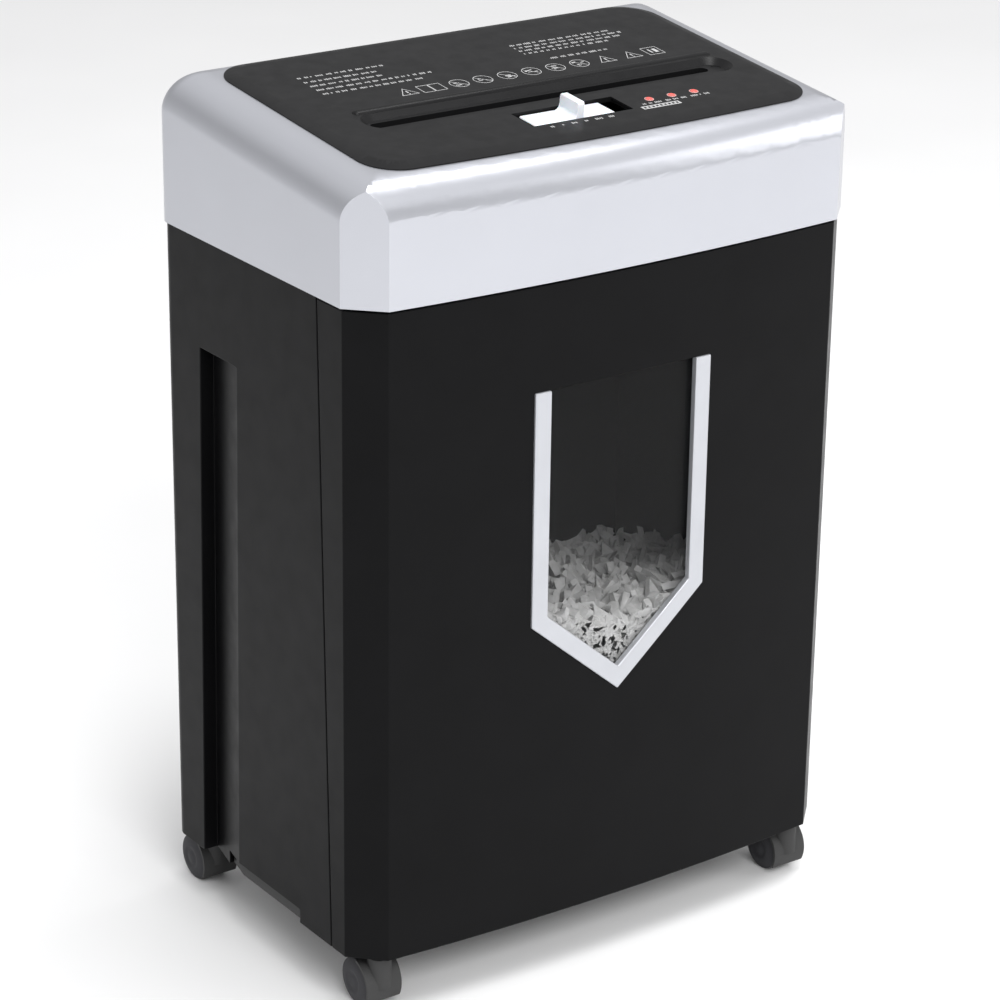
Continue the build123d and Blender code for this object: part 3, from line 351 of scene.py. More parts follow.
class Bench:
    """The modelling steps that every assembly uses."""

    @staticmethod
    def only(piece: Object) -> None:
        """Selects one object alone and makes it the active one."""
        if bpy.context.object and bpy.context.object.mode != "OBJECT":
            bpy.ops.object.mode_set(mode="OBJECT")
        bpy.ops.object.select_all(action="DESELECT")
        piece.select_set(True)
        bpy.context.view_layer.objects.active = piece

    @staticmethod
    def named(name: str) -> Object:
        """Names the primitive that was just added, settles it and returns it."""
        piece = bpy.context.object
        piece.name = name
        piece.data.name = name
        Bench.only(piece)
        bpy.ops.object.transform_apply(location=True, rotation=True, scale=True)
        return piece

    @staticmethod
    def block(name: str, low: Sequence[float], high: Sequence[float]) -> Object:
        """Adds a block between two corners.

        Args:
            name: The piece's name.
            low: The lowest corner.
            high: The highest corner.

        Returns:
            The block, with its place in its mesh.
        """
        middle = [(a + b) / 2 for a, b in zip(low, high)]
        bpy.ops.mesh.primitive_cube_add(size=1, location=middle)
        bpy.context.object.scale = [b - a for a, b in zip(low, high)]
        return Bench.named(name)

    @staticmethod
    def drum(name: str, centre: Sequence[float], radius: float, depth: float,
             turn: Point = (0.0, 0.0, 0.0), sides: int = 48) -> Object:
        """Adds a round drum.

        Args:
            name: The piece's name.
            centre: Its middle.
            radius: Its radius.
            depth: Its length.
            turn: Its turn from upright, as three angles.
            sides: How many sides it has.

        Returns:
            The drum, with its place in its mesh.
        """
        bpy.ops.mesh.primitive_cylinder_add(vertices=sides, radius=radius, depth=depth,
                                            location=centre, rotation=turn)
        return Bench.named(name)

    @staticmethod
    def pick(piece: Object, test: FaceTest) -> None:
        """Selects the faces that pass a test, and opens the piece in edit mode.

        Args:
            piece: The piece to work on.
            test: Given a face's middle and normal, says whether it is wanted.
        """
        Bench.only(piece)
        bpy.ops.object.mode_set(mode="EDIT")
        bpy.ops.mesh.select_mode(type="FACE")
        bpy.ops.mesh.select_all(action="DESELECT")
        bpy.ops.object.mode_set(mode="OBJECT")
        for face in piece.data.polygons:
            face.select = test(face.center, face.normal)
        bpy.ops.object.mode_set(mode="EDIT")

    @staticmethod
    def pull(step: Point, size: Point) -> None:
        """Extrudes the picked faces by a step and resizes their new end."""
        bpy.ops.mesh.extrude_region_move(TRANSFORM_OT_translate={"value": step})
        bpy.ops.transform.resize(value=size)

    @staticmethod
    def done() -> None:
        """Closes edit mode."""
        bpy.ops.object.mode_set(mode="OBJECT")

    @staticmethod
    def modify(piece: Object, kind: str, **settings: object) -> None:
        """Adds a modifier with its settings, and applies it.

        Args:
            piece: The piece to work on.
            kind: The modifier's type.
            **settings: The modifier's settings by name.
        """
        Bench.only(piece)
        modifier = piece.modifiers.new(kind.lower(), kind)
        for name, value in settings.items():
            setattr(modifier, name, value)
        bpy.ops.object.modifier_apply(modifier=modifier.name)

    @staticmethod
    def soften(piece: Object, angle: float) -> None:
        """Shades a piece smoothly across every edge flatter than an angle in degrees."""
        Bench.only(piece)
        bpy.ops.object.shade_smooth_by_angle(angle=radians(angle))

    @staticmethod
    def bevel(piece: Object, width: float, segments: int, angle: float) -> None:
        """Rounds the edges of a modelled piece.

        Args:
            piece: The piece to work on.
            width: The rounding's width.
            segments: How many faces the rounding has.
            angle: Edges sharper than this many degrees are rounded.
        """
        Bench.modify(piece, "BEVEL", width=width, segments=segments, limit_method="ANGLE",
                     angle_limit=radians(angle))

    @staticmethod
    def round_edges(piece: Object, width: float, angle: float = 30.0, segments: int = 3,
                    smooth: float = 38.0) -> None:
        """Rounds the sharp edges and shades the rest smoothly.

        Args:
            piece: The piece to work on.
            width: The rounding's width.
            angle: Edges sharper than this many degrees are rounded.
            segments: How many faces the rounding has.
            smooth: Edges flatter than this many degrees are shaded smoothly.
        """
        Bench.modify(piece, "BEVEL", width=width, segments=segments, limit_method="ANGLE",
                     angle_limit=radians(angle), use_clamp_overlap=True, miter_outer="MITER_ARC")
        Bench.soften(piece, smooth)
        Bench.modify(piece, "WEIGHTED_NORMAL", keep_sharp=True, weight=AREA_WEIGHT)

    @staticmethod
    def recast(node: str, name: str, width: float, angle: float = 30.0,
               flat: float = 0.4, smooth: float = 38.0) -> Object:
        """Copies a CAD node, joins its loose triangles and rounds its sharp edges.

        Args:
            node: The CAD node.
            name: The new piece's name.
            width: The width of the rounded edges.
            angle: Edges sharper than this many degrees are rounded.
            flat: Neighbouring faces that differ by less, in degrees, become one.
            smooth: Edges flatter than this many degrees are shaded smoothly.

        Returns:
            The new piece.
        """
        piece = bpy.data.objects.new(name, NODES[node].data.copy())
        piece.data.name = name
        bpy.context.scene.collection.objects.link(piece)
        Bench.only(piece)
        if piece.data.has_custom_normals:
            bpy.ops.mesh.customdata_custom_splitnormals_clear()
        bpy.ops.object.mode_set(mode="EDIT")
        bpy.ops.mesh.select_all(action="SELECT")
        bpy.ops.mesh.remove_doubles(threshold=SAME_PLACE)
        bpy.ops.mesh.dissolve_limited(angle_limit=radians(flat))
        bpy.ops.object.mode_set(mode="OBJECT")
        Bench.round_edges(piece, width, angle, smooth=smooth)
        return piece

    @staticmethod
    def true_up(piece: Object, rule: Callable[[Vector, Vector], Vector | None]) -> None:
        """Sets the shading of a curved face to the curve that its flat facets stand for.

        Args:
            piece: The piece to work on.
            rule: Given a corner's place and its face's normal, gives the curve's own
                normal there, or None where the face isn't part of the curve.
        """
        mesh = piece.data
        normals = [Vector(corner.vector) for corner in mesh.corner_normals]
        for face in mesh.polygons:
            for loop in face.loop_indices:
                place = mesh.vertices[mesh.loops[loop].vertex_index].co
                better = rule(place, face.normal)
                if better is not None:
                    normals[loop] = better
        mesh.normals_split_custom_set(normals)

    @staticmethod
    def join(name: str, pieces: Sequence[Object]) -> Object:
        """Joins several objects into one.

        Args:
            name: The joined piece's name.
            pieces: The objects to join.

        Returns:
            The joined piece.
        """
        Bench.only(pieces[0])
        for piece in pieces[1:]:
            piece.select_set(True)
        bpy.ops.object.join()
        pieces[0].name = name
        return pieces[0]

    @staticmethod
    def place(piece: Object, finish: Finish, like: str, *replaced: str) -> Object:
        """Gives a piece its finish and its body, and reports it.

        Args:
            piece: The finished piece.
            finish: Its finish.
            like: The CAD node whose body it shares.
            *replaced: The CAD nodes that it stands for.

        Returns:
            The piece.
        """
        piece.data.materials.clear()
        piece.data.materials.append(finish.material())
        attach(piece, BODY_OF_NODE[like])
        if replaced:
            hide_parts(*replaced)
        LOG.info("%s: %d faces, on %s", piece.name, len(piece.data.polygons), BODY_OF_NODE[like])
        return piece


    @staticmethod
    def dress(node: str, name: str, finish: Finish, width: float, angle: float = 30.0,
              **options: float) -> Object:
        """Recasts a CAD node and puts the new piece in its place.

        Args:
            node: The CAD node.
            name: The new piece's name.
            finish: Its finish.
            width: The width of the rounded edges.
            angle: Edges sharper than this many degrees are rounded.
            **options: What else Bench.recast takes.

        Returns:
            The new piece.
        """
        return Bench.place(Bench.recast(node, name, width, angle, **options), finish, node, node)


@dataclass(frozen=True)
class BowedFront:
    """The front's gentle bow, an arc in plan between the two corner chamfers."""

    half_width: float = 151.5 * MM
    bow: float = 6.2 * MM
    reach: float = 1.5 * MM
    agreement: float = 0.998

    @cached_property
    def nose(self) -> float:
        """Y of the head's foremost point, where the bow stands proudest."""
        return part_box("head_cover")[0].y

    def normal(self, place: Vector, facing: Vector) -> Vector | None:
        """Gives the bow's outward normal at a place on the front.

        Args:
            place: A corner of a face.
            facing: The face's own normal.

        Returns:
            The bow's normal, or None where the face isn't part of the bow.
        """
        radius = (self.half_width**2 + self.bow**2) / (2 * self.bow)
        centre = Vector((0.0, self.nose + radius, place.z))
        outward = (place - centre).normalized()
        if facing.dot(outward) > self.agreement and abs(place.x) < self.half_width + self.reach:
            return outward
        return None


@dataclass(frozen=True)
class SlopingTop:
    """The plane of the head's sloping top, in which the panel's pieces are laid out."""

    bow: float = 6.2 * MM
    height: float = 498.0 * MM
    slope: float = radians(5.78)
    panel: float = 2.6 * MM

    @cached_property
    def middle(self) -> float:
        """Y of the head's middle, between its front corners and its back."""
        low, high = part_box("head_cover")
        return (low.y + self.bow + high.y) / 2

    def lay(self, piece: Object) -> Object:
        """Moves a piece that was made flat at the origin onto the sloping top."""
        Bench.only(piece)
        place = Matrix.Translation((0.0, self.middle, self.height))
        piece.matrix_world = place @ Matrix.Rotation(self.slope, 4, "X")
        bpy.ops.object.transform_apply(location=True, rotation=True, scale=True)
        return piece


TOP = SlopingTop()
FRONT = BowedFront()


# ------------------------------------------------------------------------------ head
@dataclass
class HeadShell:
    """The silver head and its cord gland."""

    edge: float = 0.7 * MM
    gland_edge: float = 0.5 * MM

    def build(self) -> list[Object]:
        """Builds the head's shell and gland.

        Returns:
            The pieces.
        """
        shell = Bench.dress("head_cover", "head_shell", SILVER_PAINT, self.edge, angle=32.0)
        Bench.true_up(shell, FRONT.normal)
        gland = Bench.dress("cord_gland", "lead_gland", SATIN_BLACK, self.gland_edge, angle=40.0)
        return [shell, gland]


@dataclass
class FeedPanel:
    """The black panel with its feed slot, and the bead behind the slot."""

    edge: float = 0.45 * MM
    bead_left: float = -112.0 * MM
    bead_right: float = 126.0 * MM
    bead_v: float = -12.6 * MM
    bead_radius: float = 3.4 * MM
    bead_rise: float = 1.5 * MM
    bead_sides: int = 24
    bead_smooth: float = 50.0
    bead_ends: tuple[tuple[float, float], ...] = ((1.6, 0.86), (1.0, 0.70), (0.5, 0.4))

    def build(self) -> list[Object]:
        """Builds the panel and the bead.

        Returns:
            The pieces.
        """
        panel = Bench.dress("control_panel", "feed_panel", PANEL_BLACK, self.edge, angle=24.0)
        return [panel, Bench.place(self._bead(), PANEL_BLACK, "control_panel")]

    def _bead(self) -> Object:
        """Models the rounded bead as a long drum with drawn-in, domed ends."""
        middle = (self.bead_left + self.bead_right) / 2
        length = self.bead_right - self.bead_left
        height = TOP.panel + self.bead_rise - self.bead_radius
        bead = Bench.drum("slot_bead", (middle, self.bead_v, height), self.bead_radius, length,
                          turn=(0.0, pi / 2, 0.0), sides=self.bead_sides)
        for side in (-1, 1):
            Bench.pick(bead, lambda centre, normal: normal.x * side > UPRIGHT)
            for reach, size in self.bead_ends:
                Bench.pull((side * reach * MM, 0, 0), (1.0, size, size))
            Bench.done()
        Bench.soften(bead, self.bead_smooth)
        return TOP.lay(bead)


@dataclass
class PanelPrint:
    """Plain printed marks on the panel: outlined signs and rows of short bars."""

    seed: int = 7
    lift: float = 0.02 * MM
    thickness: float = 0.05 * MM
    stroke: float = 0.42 * MM
    sign_v: float = 4.0 * MM
    ring_radius: float = 5.8 * MM
    ring_u: tuple[float, ...] = (-34.0, -18.0, -1.5, 15.0, 31.7, 48.4)
    triangle_u: tuple[float, ...] = (-68.6, 66.5, 84.9)
    triangle_radius: float = 6.6 * MM
    book_u: tuple[float, ...] = (-56.2, -48.5)
    notes: tuple[Note, ...] = (
        (-113.0, -37.0, (46.0, 39.0, 32.5, 26.0, 19.5), (0.72, 0.62, 0.58, 1.0, 0.86)),
        (28.0, 103.0, (44.0, 39.2, 34.4, 29.6), (0.95, 1.0, 0.97, 0.82)),
        (38.0, 76.0, (17.6,), (1.0,)),
    )
    caption_u: tuple[float, ...] = (41.0, 57.0, 74.5)
    caption_length: float = 13.5
    caption_v: float = -65.6
    marks: list[Object] = field(default_factory=list)

    def build(self) -> list[Object]:
        """Builds every printed mark as one thin piece.

        Returns:
            The pieces.
        """
        draw = random.Random(self.seed)
        for u in self.ring_u:
            self._outline(u * MM, self.sign_v, self.ring_radius, 36)
            self._figure(draw, u * MM, self.sign_v, self.ring_radius)
        for u in self.triangle_u:
            self._outline(u * MM, self.sign_v - 1.2 * MM, self.triangle_radius, 3)
            self._bar(u * MM, self.sign_v - 0.2 * MM, 0.9 * MM, 3.0 * MM)
            self._bar(u * MM, self.sign_v - 3.2 * MM, 0.9 * MM, 0.9 * MM)
        for u in self.book_u:
            self._box(u * MM, self.sign_v, 7.2 * MM, 10.0 * MM)
        count_v = self.sign_v + 0.6 * MM
        self._box(100.7 * MM, count_v, 10.5 * MM, 11.0 * MM)
        self._bar(99.0 * MM, count_v, 1.1 * MM, 5.4 * MM)
        self._bar(102.6 * MM, count_v, 2.4 * MM, 5.4 * MM)
        for left, right, rows, shares in self.notes:
            self._rows(draw, left, right, rows, shares)
        self._rows(draw, -27.0, 15.0, (-73.6,), (1.0,), gap=4.0)
        for u in self.caption_u:
            self._rows(draw, u, u + self.caption_length, (self.caption_v,), (1.0,))
        self._tag(50.0 * MM, -70.6 * MM, 26.0 * MM, 4.0 * MM)
        piece = Bench.join("panel_print", self.marks)
        return [Bench.place(TOP.lay(piece), PRINT_WHITE, "control_panel")]

    def _level(self) -> float:
        """Height of the print's middle above the sloping top."""
        return TOP.panel + self.lift + self.thickness / 2

    def _bar(self, u: float, v: float, width: float, depth: float, turn: float = 0.0) -> None:
        """Adds a flat bar.

        Args:
            u: Its middle, to the right.
            v: Its middle, up the slope.
            width: Its size to the right.
            depth: Its size up the slope.
            turn: Its turn in the panel's plane, in radians.
        """
        bpy.ops.mesh.primitive_cube_add(size=1, location=(u, v, self._level()), rotation=(0, 0, turn))
        bpy.context.object.scale = (width, depth, self.thickness)
        self.marks.append(Bench.named("mark"))

    def _outline(self, u: float, v: float, radius: float, sides: int) -> None:
        """Adds an outlined ring or triangle.

        Args:
            u: Its middle, to the right.
            v: Its middle, up the slope.
            radius: Its outer radius.
            sides: Three for a triangle, and many for a ring.
        """
        bpy.ops.mesh.primitive_cylinder_add(vertices=sides, radius=radius, depth=self.thickness,
                                            location=(u, v, self._level()))
        sign = Bench.named("mark")
        Bench.pick(sign, lambda centre, normal: abs(normal.z) > UPRIGHT)
        bpy.ops.mesh.inset(thickness=self.stroke, depth=0)
        bpy.ops.mesh.bridge_edge_loops()
        Bench.done()
        self.marks.append(sign)

    def _box(self, u: float, v: float, width: float, depth: float) -> None:
        """Adds an outlined box from four bars.

        Args:
            u: Its middle, to the right.
            v: Its middle, up the slope.
            width: Its size to the right.
            depth: Its size up the slope.
        """
        for side in (-1, 1):
            self._bar(u + side * width / 2, v, self.stroke, depth)
            self._bar(u, v + side * depth / 2, width, self.stroke)

    def _figure(self, draw: random.Random, u: float, v: float, radius: float) -> None:
        """Fills a ring with a few plain bars.

        Args:
            draw: The source of chance.
            u: The ring's middle, to the right.
            v: The ring's middle, up the slope.
            radius: The ring's radius.
        """
        self._bar(u, v, radius * 1.7, self.stroke, turn=-pi / 4)
        for _ in range(4):
            reach = radius * 0.5
            self._bar(u + draw.uniform(-reach, reach), v + draw.uniform(-reach, reach),
                      draw.uniform(1.2, 3.6) * MM, draw.uniform(0.5, 1.1) * MM,
                      turn=draw.uniform(-0.6, 0.6))

    def _rows(self, draw: random.Random, left: float, right: float, rows: Sequence[float],
              shares: Sequence[float], gap: float = 1.0) -> None:
        """Adds rows of short bars, as a stand-in for printed words.

        Args:
            draw: The source of chance.
            left: Where the rows start, in millimetres.
            right: Where the longest row ends, in millimetres.
            rows: Each row's place up the slope, in millimetres.
            shares: Each row's share of the full length.
            gap: The space between the bars, in millimetres.
        """
        for v, share in zip(rows, shares):
            u = left
            stop = left + (right - left) * share
            while u < stop:
                width = draw.uniform(2.2, 6.0)
                for step in range(max(int(width / 1.25), 1)):
                    height = draw.choice((1.5, 1.9, 2.3)) * MM
                    self._bar((u + step * 1.25 + 0.4) * MM, v * MM, 0.7 * MM, height)
                u += width + gap

    def _tag(self, u: float, v: float, width: float, depth: float) -> None:
        """Adds a filled tag with a row of openings along it.

        Args:
            u: Its middle, to the right.
            v: Its middle, up the slope.
            width: Its size to the right.
            depth: Its size up the slope.
        """
        for side in (-1, 1):
            self._bar(u, v + side * depth * 0.38, width, depth * 0.24)
        posts = 9
        for step in range(posts + 1):
            self._bar(u + (step / posts - 0.5) * (width - 1.2 * MM), v, 1.1 * MM, depth * 0.6)


@dataclass
class ModeSwitch:
    """The white slider with its flared fin."""

    plate_low: float = -0.2 * MM
    plate_top: float = 1.3 * MM
    plate: tuple[float, float, float, float] = (-31.0 * MM, 22.0 * MM, -68.5 * MM, -49.5 * MM)
    fin_u: float = -3.0 * MM
    fin_half: float = 2.3 * MM
    fin_top: float = 11.1 * MM
    fin_front: float = -67.6 * MM
    fin_back: float = -50.4 * MM
    crown: tuple[tuple[float, float], ...] = ((0.9, 0.96), (0.6, 0.90))
    flare: tuple[tuple[float, float], ...] = ((3.8, 1.04), (2.2, 1.12), (1.2, 1.28), (0.7, 1.40))
    lean: float = 1.2 * MM
    shoulder_height: float = 0.4 * MM
    cheek_above_plate: float = 3.0 * MM
    cheek_below_top: float = 2.0 * MM
    cheek_inset: float = 1.1 * MM
    cheek_depth: float = 0.5 * MM
    plate_round: float = 1.4 * MM
    fin_round: float = 0.9 * MM
    peg_round: float = 0.4 * MM
    peg_radius: float = 2.0 * MM
    peg_length: float = 9.0 * MM

    def build(self) -> list[Object]:
        """Builds the slider.

        Returns:
            The pieces.
        """
        left, right, front, back = self.plate
        plate = Bench.block("slider_plate", (left, front, self.plate_low),
                            (right, back, self.plate_top))
        Bench.bevel(plate, self.plate_round, 3, 60)
        slider = Bench.join("mode_slider_cap", [plate, self._fin(), self._peg()])
        Bench.soften(slider, 45)
        return [Bench.place(TOP.lay(slider), SLIDER_WHITE, "mode_slider", "mode_slider")]

    def _fin(self) -> Object:
        """Models the fin from its top down, each step wider to the left than the last."""
        shoulder = self.fin_top - sum(rise for rise, _ in self.crown) * MM
        start = shoulder - self.shoulder_height
        fin = Bench.block("slider_fin", (self.fin_u - self.fin_half, self.fin_front, start),
                          (self.fin_u + self.fin_half, self.fin_back, shoulder))
        Bench.pick(fin, lambda centre, normal: normal.z > UPRIGHT)
        for rise, narrow in self.crown:
            Bench.pull((0, 0, rise * MM), (1.0, narrow, 1.0))
        Bench.done()
        Bench.pick(fin, lambda centre, normal: normal.z < -UPRIGHT)
        for drop, widen in self.flare:
            Bench.pull((0, 0, -drop * MM), (widen, 1.0, 1.0))
            bpy.ops.transform.translate(value=((1 - widen) * self.lean, 0, 0))
        Bench.done()
        Bench.pick(fin, self._is_cheek)
        bpy.ops.mesh.inset(thickness=self.cheek_inset, depth=-self.cheek_depth)
        Bench.done()
        Bench.bevel(fin, self.fin_round, 4, 50)
        return fin

    def _is_cheek(self, centre: Vector, normal: Vector) -> bool:
        """Says whether a face of the fin is the tall left one that is sunk a little."""
        low = self.plate_top + self.cheek_above_plate
        return normal.x < -0.95 and low < centre.z < self.fin_top - self.cheek_below_top

    def _peg(self) -> Object:
        """Models the peg that works the switch under the panel."""
        middle = (self.plate[2] + self.plate[3]) / 2
        peg = Bench.drum("slider_peg", (self.fin_u, middle, -self.peg_length / 2), self.peg_radius,
                         self.peg_length, sides=24)
        Bench.bevel(peg, self.peg_round, 2, 60)
        return peg


@dataclass
class StatusLights:
    """The three indicator lenses, each in a thin printed ring."""

    first_u: float = 49.5 * MM
    pitch: float = 15.6 * MM
    v: float = -60.0 * MM
    count: int = 3
    ring_radius: float = 2.45 * MM
    ring_width: float = 0.25 * MM
    ring_rise: float = 0.04 * MM
    ring_squash: float = 0.7
    lens_edge: float = 0.6 * MM

    def build(self) -> list[Object]:
        """Builds the lenses and their rings.

        Returns:
            The pieces.
        """
        lenses = Bench.dress("indicator_lenses", "status_lenses", LENS_RED, self.lens_edge, angle=40.0)
        rings = []
        for index in range(self.count):
            place = (self.first_u + index * self.pitch, self.v, TOP.panel + self.ring_rise)
            bpy.ops.mesh.primitive_torus_add(major_radius=self.ring_radius,
                                             minor_radius=self.ring_width, major_segments=36,
                                             minor_segments=8, location=place)
            bpy.context.object.scale = (1.0, 1.0, self.ring_squash)
            rings.append(Bench.named("status_ring"))
        joined = Bench.join("status_rings", rings)
        Bench.only(joined)
        bpy.ops.object.shade_smooth()
        return [lenses, Bench.place(TOP.lay(joined), RING_PINK, "control_panel")]


# ------------------------------------------------------------------------------ cabinet and bin
@dataclass
class CabinetBody:
    """The black cabinet: its shell and the base that shows under it."""

    edge: float = 0.6 * MM
    base_edge: float = 0.4 * MM

    def build(self) -> list[Object]:
        """Builds the shell and the base.

        Returns:
            The pieces.
        """
        return [
            Bench.dress("cabinet_shell", "cabinet_skin", SATIN_BLACK, self.edge, angle=10.0,
                        smooth=12.0),
            Bench.dress("cabinet_base", "cabinet_floor", INNER_BLACK, self.base_edge, angle=40.0),
        ]


@dataclass
class WasteBin:
    """The pull-out bin: its black front, its tub, its window and its silver frame."""

    edge: float = 0.6 * MM
    frame_edge: float = 0.7 * MM
    pane_edge: float = 0.3 * MM

    def build(self) -> list[Object]:
        """Builds the bin's front, frame, pane and tub.

        Returns:
            The pieces.
        """
        front = Bench.dress("bin_front", "bin_face", SATIN_BLACK, self.edge, angle=28.0, smooth=14.0)
        surround = Bench.dress("window_frame", "window_surround", FRAME_PAINT, self.frame_edge,
                               angle=35.0)
        for bowed in (front, surround):
            Bench.true_up(bowed, FRONT.normal)
        pane = Bench.dress("window_pane", "window_sheet", SMOKED_CLEAR, self.pane_edge, angle=40.0)
        tub = Bench.dress("bin_tub", "bin_liner", INNER_BLACK, self.edge, angle=40.0)
        return [front, surround, pane, tub]


@dataclass
class PaperWaste:
    """The heap of cross-cut paper in the bin, seen through the window."""

    seed: int = 23
    level: float = 214.0 * MM
    fall: float = 52.0 * MM
    side_gap: float = 3.5 * MM
    kinds: int = 7
    strip_width: float = 4.2 * MM
    strip_thickness: float = 0.14 * MM
    strip_shortest: float = 13.0
    strip_longest: float = 26.0
    strip_cuts: tuple[float, ...] = (0.0, -0.36, -0.18, 0.18, 0.36)
    at_window: int = 620
    on_top: int = 900
    behind_pane: float = 7.5 * MM
    hump: float = 6.0 * MM
    hump_width: float = 23.0 * MM
    hump_depth: float = 31.0 * MM
    core_below: float = 7.0 * MM
    core_cuts: int = 40
    margin: float = 13.0 * MM
    past_window: float = 6.0 * MM
    window_step: float = 0.5 * MM
    press: float = 0.6 * MM
    press_front: float = 5.0 * MM

    def build(self) -> list[Object]:
        """Builds the heap's core, dark as painted shade, and the strips that lie on it.

        Returns:
            The pieces.
        """
        draw = random.Random(self.seed)
        low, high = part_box("bin_tub")
        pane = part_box("window_pane")
        front = pane[0].y + self.behind_pane
        inside_low = Vector((low.x + self.side_gap, front, low.z + self.side_gap))
        inside_high = Vector((high.x - self.side_gap, high.y - self.side_gap, high.z))
        core = self._core(inside_low, inside_high)
        models = [self._strip(draw, number) for number in range(self.kinds)]
        strips = self._scatter(draw, models, inside_low, inside_high)
        for model in models:
            bpy.data.objects.remove(model)
        return [
            # The core's dark finish is painted shade between the strips.
            Bench.place(core, SHADED_PAPER_CORE, "bin_tub"),
            Bench.place(strips, PAPER, "bin_tub"),
        ]

    @cached_property
    def ends(self) -> tuple[float, float]:
        """The bin's foremost and rearmost y."""
        low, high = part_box("bin_tub")
        return low.y, high.y

    def _surface(self, x: float, y: float) -> float:
        """Height of the heap at a place: lower to the back, with soft humps."""
        front, rear = self.ends
        back = (y - front) / (rear - front)
        hump = self.hump * sin(x / self.hump_width + 0.8) * cos(y / self.hump_depth)
        return self.level - self.fall * back + hump

    def _core(self, low: Vector, high: Vector) -> Object:
        """Models the mass of paper under the loose strips, painted dark as the shade between them.

        Args:
            low: The lowest corner of the bin's inside.
            high: The highest corner of the bin's inside.

        Returns:
            The core.
        """
        top = self.level
        core = Bench.block("shaded_paper_mass", low, (high.x, high.y, top))
        Bench.pick(core, lambda centre, normal: normal.z > UPRIGHT)
        bpy.ops.mesh.subdivide(number_cuts=self.core_cuts)
        Bench.done()
        for vertex in core.data.vertices:
            if vertex.co.z > top - 0.01 * MM:
                vertex.co.z = self._surface(vertex.co.x, vertex.co.y) - self.core_below
        Bench.soften(core, 50)
        return core

    def _strip(self, draw: random.Random, number: int) -> Object:
        """Models one cut strip, curled along its length.

        Args:
            draw: The source of chance.
            number: The strip's number among the kinds.

        Returns:
            The strip, at the origin.
        """
        length = draw.uniform(self.strip_shortest, self.strip_longest) * MM
        half = Vector((length, self.strip_width, self.strip_thickness)) / 2
        strip = Bench.block(f"strip_{number}", -half, half)
        Bench.modify(strip, "SUBSURF", subdivision_type="SIMPLE", levels=2, render_levels=2)
        Bench.pick(strip, lambda centre, normal: True)
        bpy.ops.mesh.dissolve_limited(angle_limit=radians(1))
        Bench.done()
        Bench.pick(strip, lambda centre, normal: True)
        for cut in self.strip_cuts:
            bpy.ops.mesh.select_all(action="SELECT")
            bpy.ops.mesh.bisect(plane_co=(cut * length, 0, 0), plane_no=(1, 0, 0))
        Bench.done()
        curl = draw.choice((-1, 1)) * draw.uniform(0.4, 2.6)
        Bench.modify(strip, "SIMPLE_DEFORM", deform_method="BEND", deform_axis="Y", angle=curl)
        Bench.modify(strip, "SIMPLE_DEFORM", deform_method="TWIST", deform_axis="X",
                     angle=draw.uniform(-0.9, 0.9))
        return strip

    def _scatter(self, draw: random.Random, models: Sequence[Object], low: Vector,
                 high: Vector) -> Object:
        """Lays copies of the strips against the window and over the heap.

        Args:
            draw: The source of chance.
            models: The strips to copy.
            low: The lowest corner of the bin's inside.
            high: The highest corner of the bin's inside.

        Returns:
            All the strips as one piece.
        """
        window_low, window_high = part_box("window_pane")
        copies = []
        for number in range(self.at_window + self.on_top):
            if number < self.at_window:
                x = draw.uniform(window_low.x - self.past_window, window_high.x + self.past_window)
                y = low.y - draw.uniform(0.5, 3.5) * MM + self.window_step
                z = draw.uniform(window_low.z - self.past_window, self._surface(x, low.y))
                turn = (draw.gauss(pi / 2, 0.3), draw.gauss(0, 0.3))
            else:
                x = draw.uniform(low.x + self.margin, high.x - self.margin)
                y = draw.uniform(low.y + self.margin, high.y - self.margin)
                z = self._surface(x, y) + draw.uniform(-6.0, 2.5) * MM
                turn = (draw.gauss(0, 0.55), draw.gauss(0, 0.55))
            roll = Matrix.Rotation(draw.uniform(0, 2 * pi), 4, "Z")
            model = draw.choice(models)
            copy = bpy.data.objects.new("strip", model.data.copy())
            spin = Matrix.Rotation(turn[0], 4, "X") @ Matrix.Rotation(turn[1], 4, "Y") @ roll
            copy.data.transform(Matrix.Translation((x, y, z)) @ spin)
            bpy.context.scene.collection.objects.link(copy)
            copies.append(copy)
        strips = Bench.join("paper_strips", copies)
        self._keep_inside(strips, low, high)
        return strips

    def _keep_inside(self, strips: Object, low: Vector, high: Vector) -> None:
        """Presses what reaches past the bin's walls or its pane back inside.

        Args:
            strips: The joined strips.
            low: The lowest corner of the bin's inside.
            high: The highest corner of the bin's inside.
        """
        front = low.y - self.press_front
        for vertex in strips.data.vertices:
            point = vertex.co
            point.x = min(max(point.x, low.x - self.press), high.x + self.press)
            point.y = min(max(point.y, front), high.y + self.press)


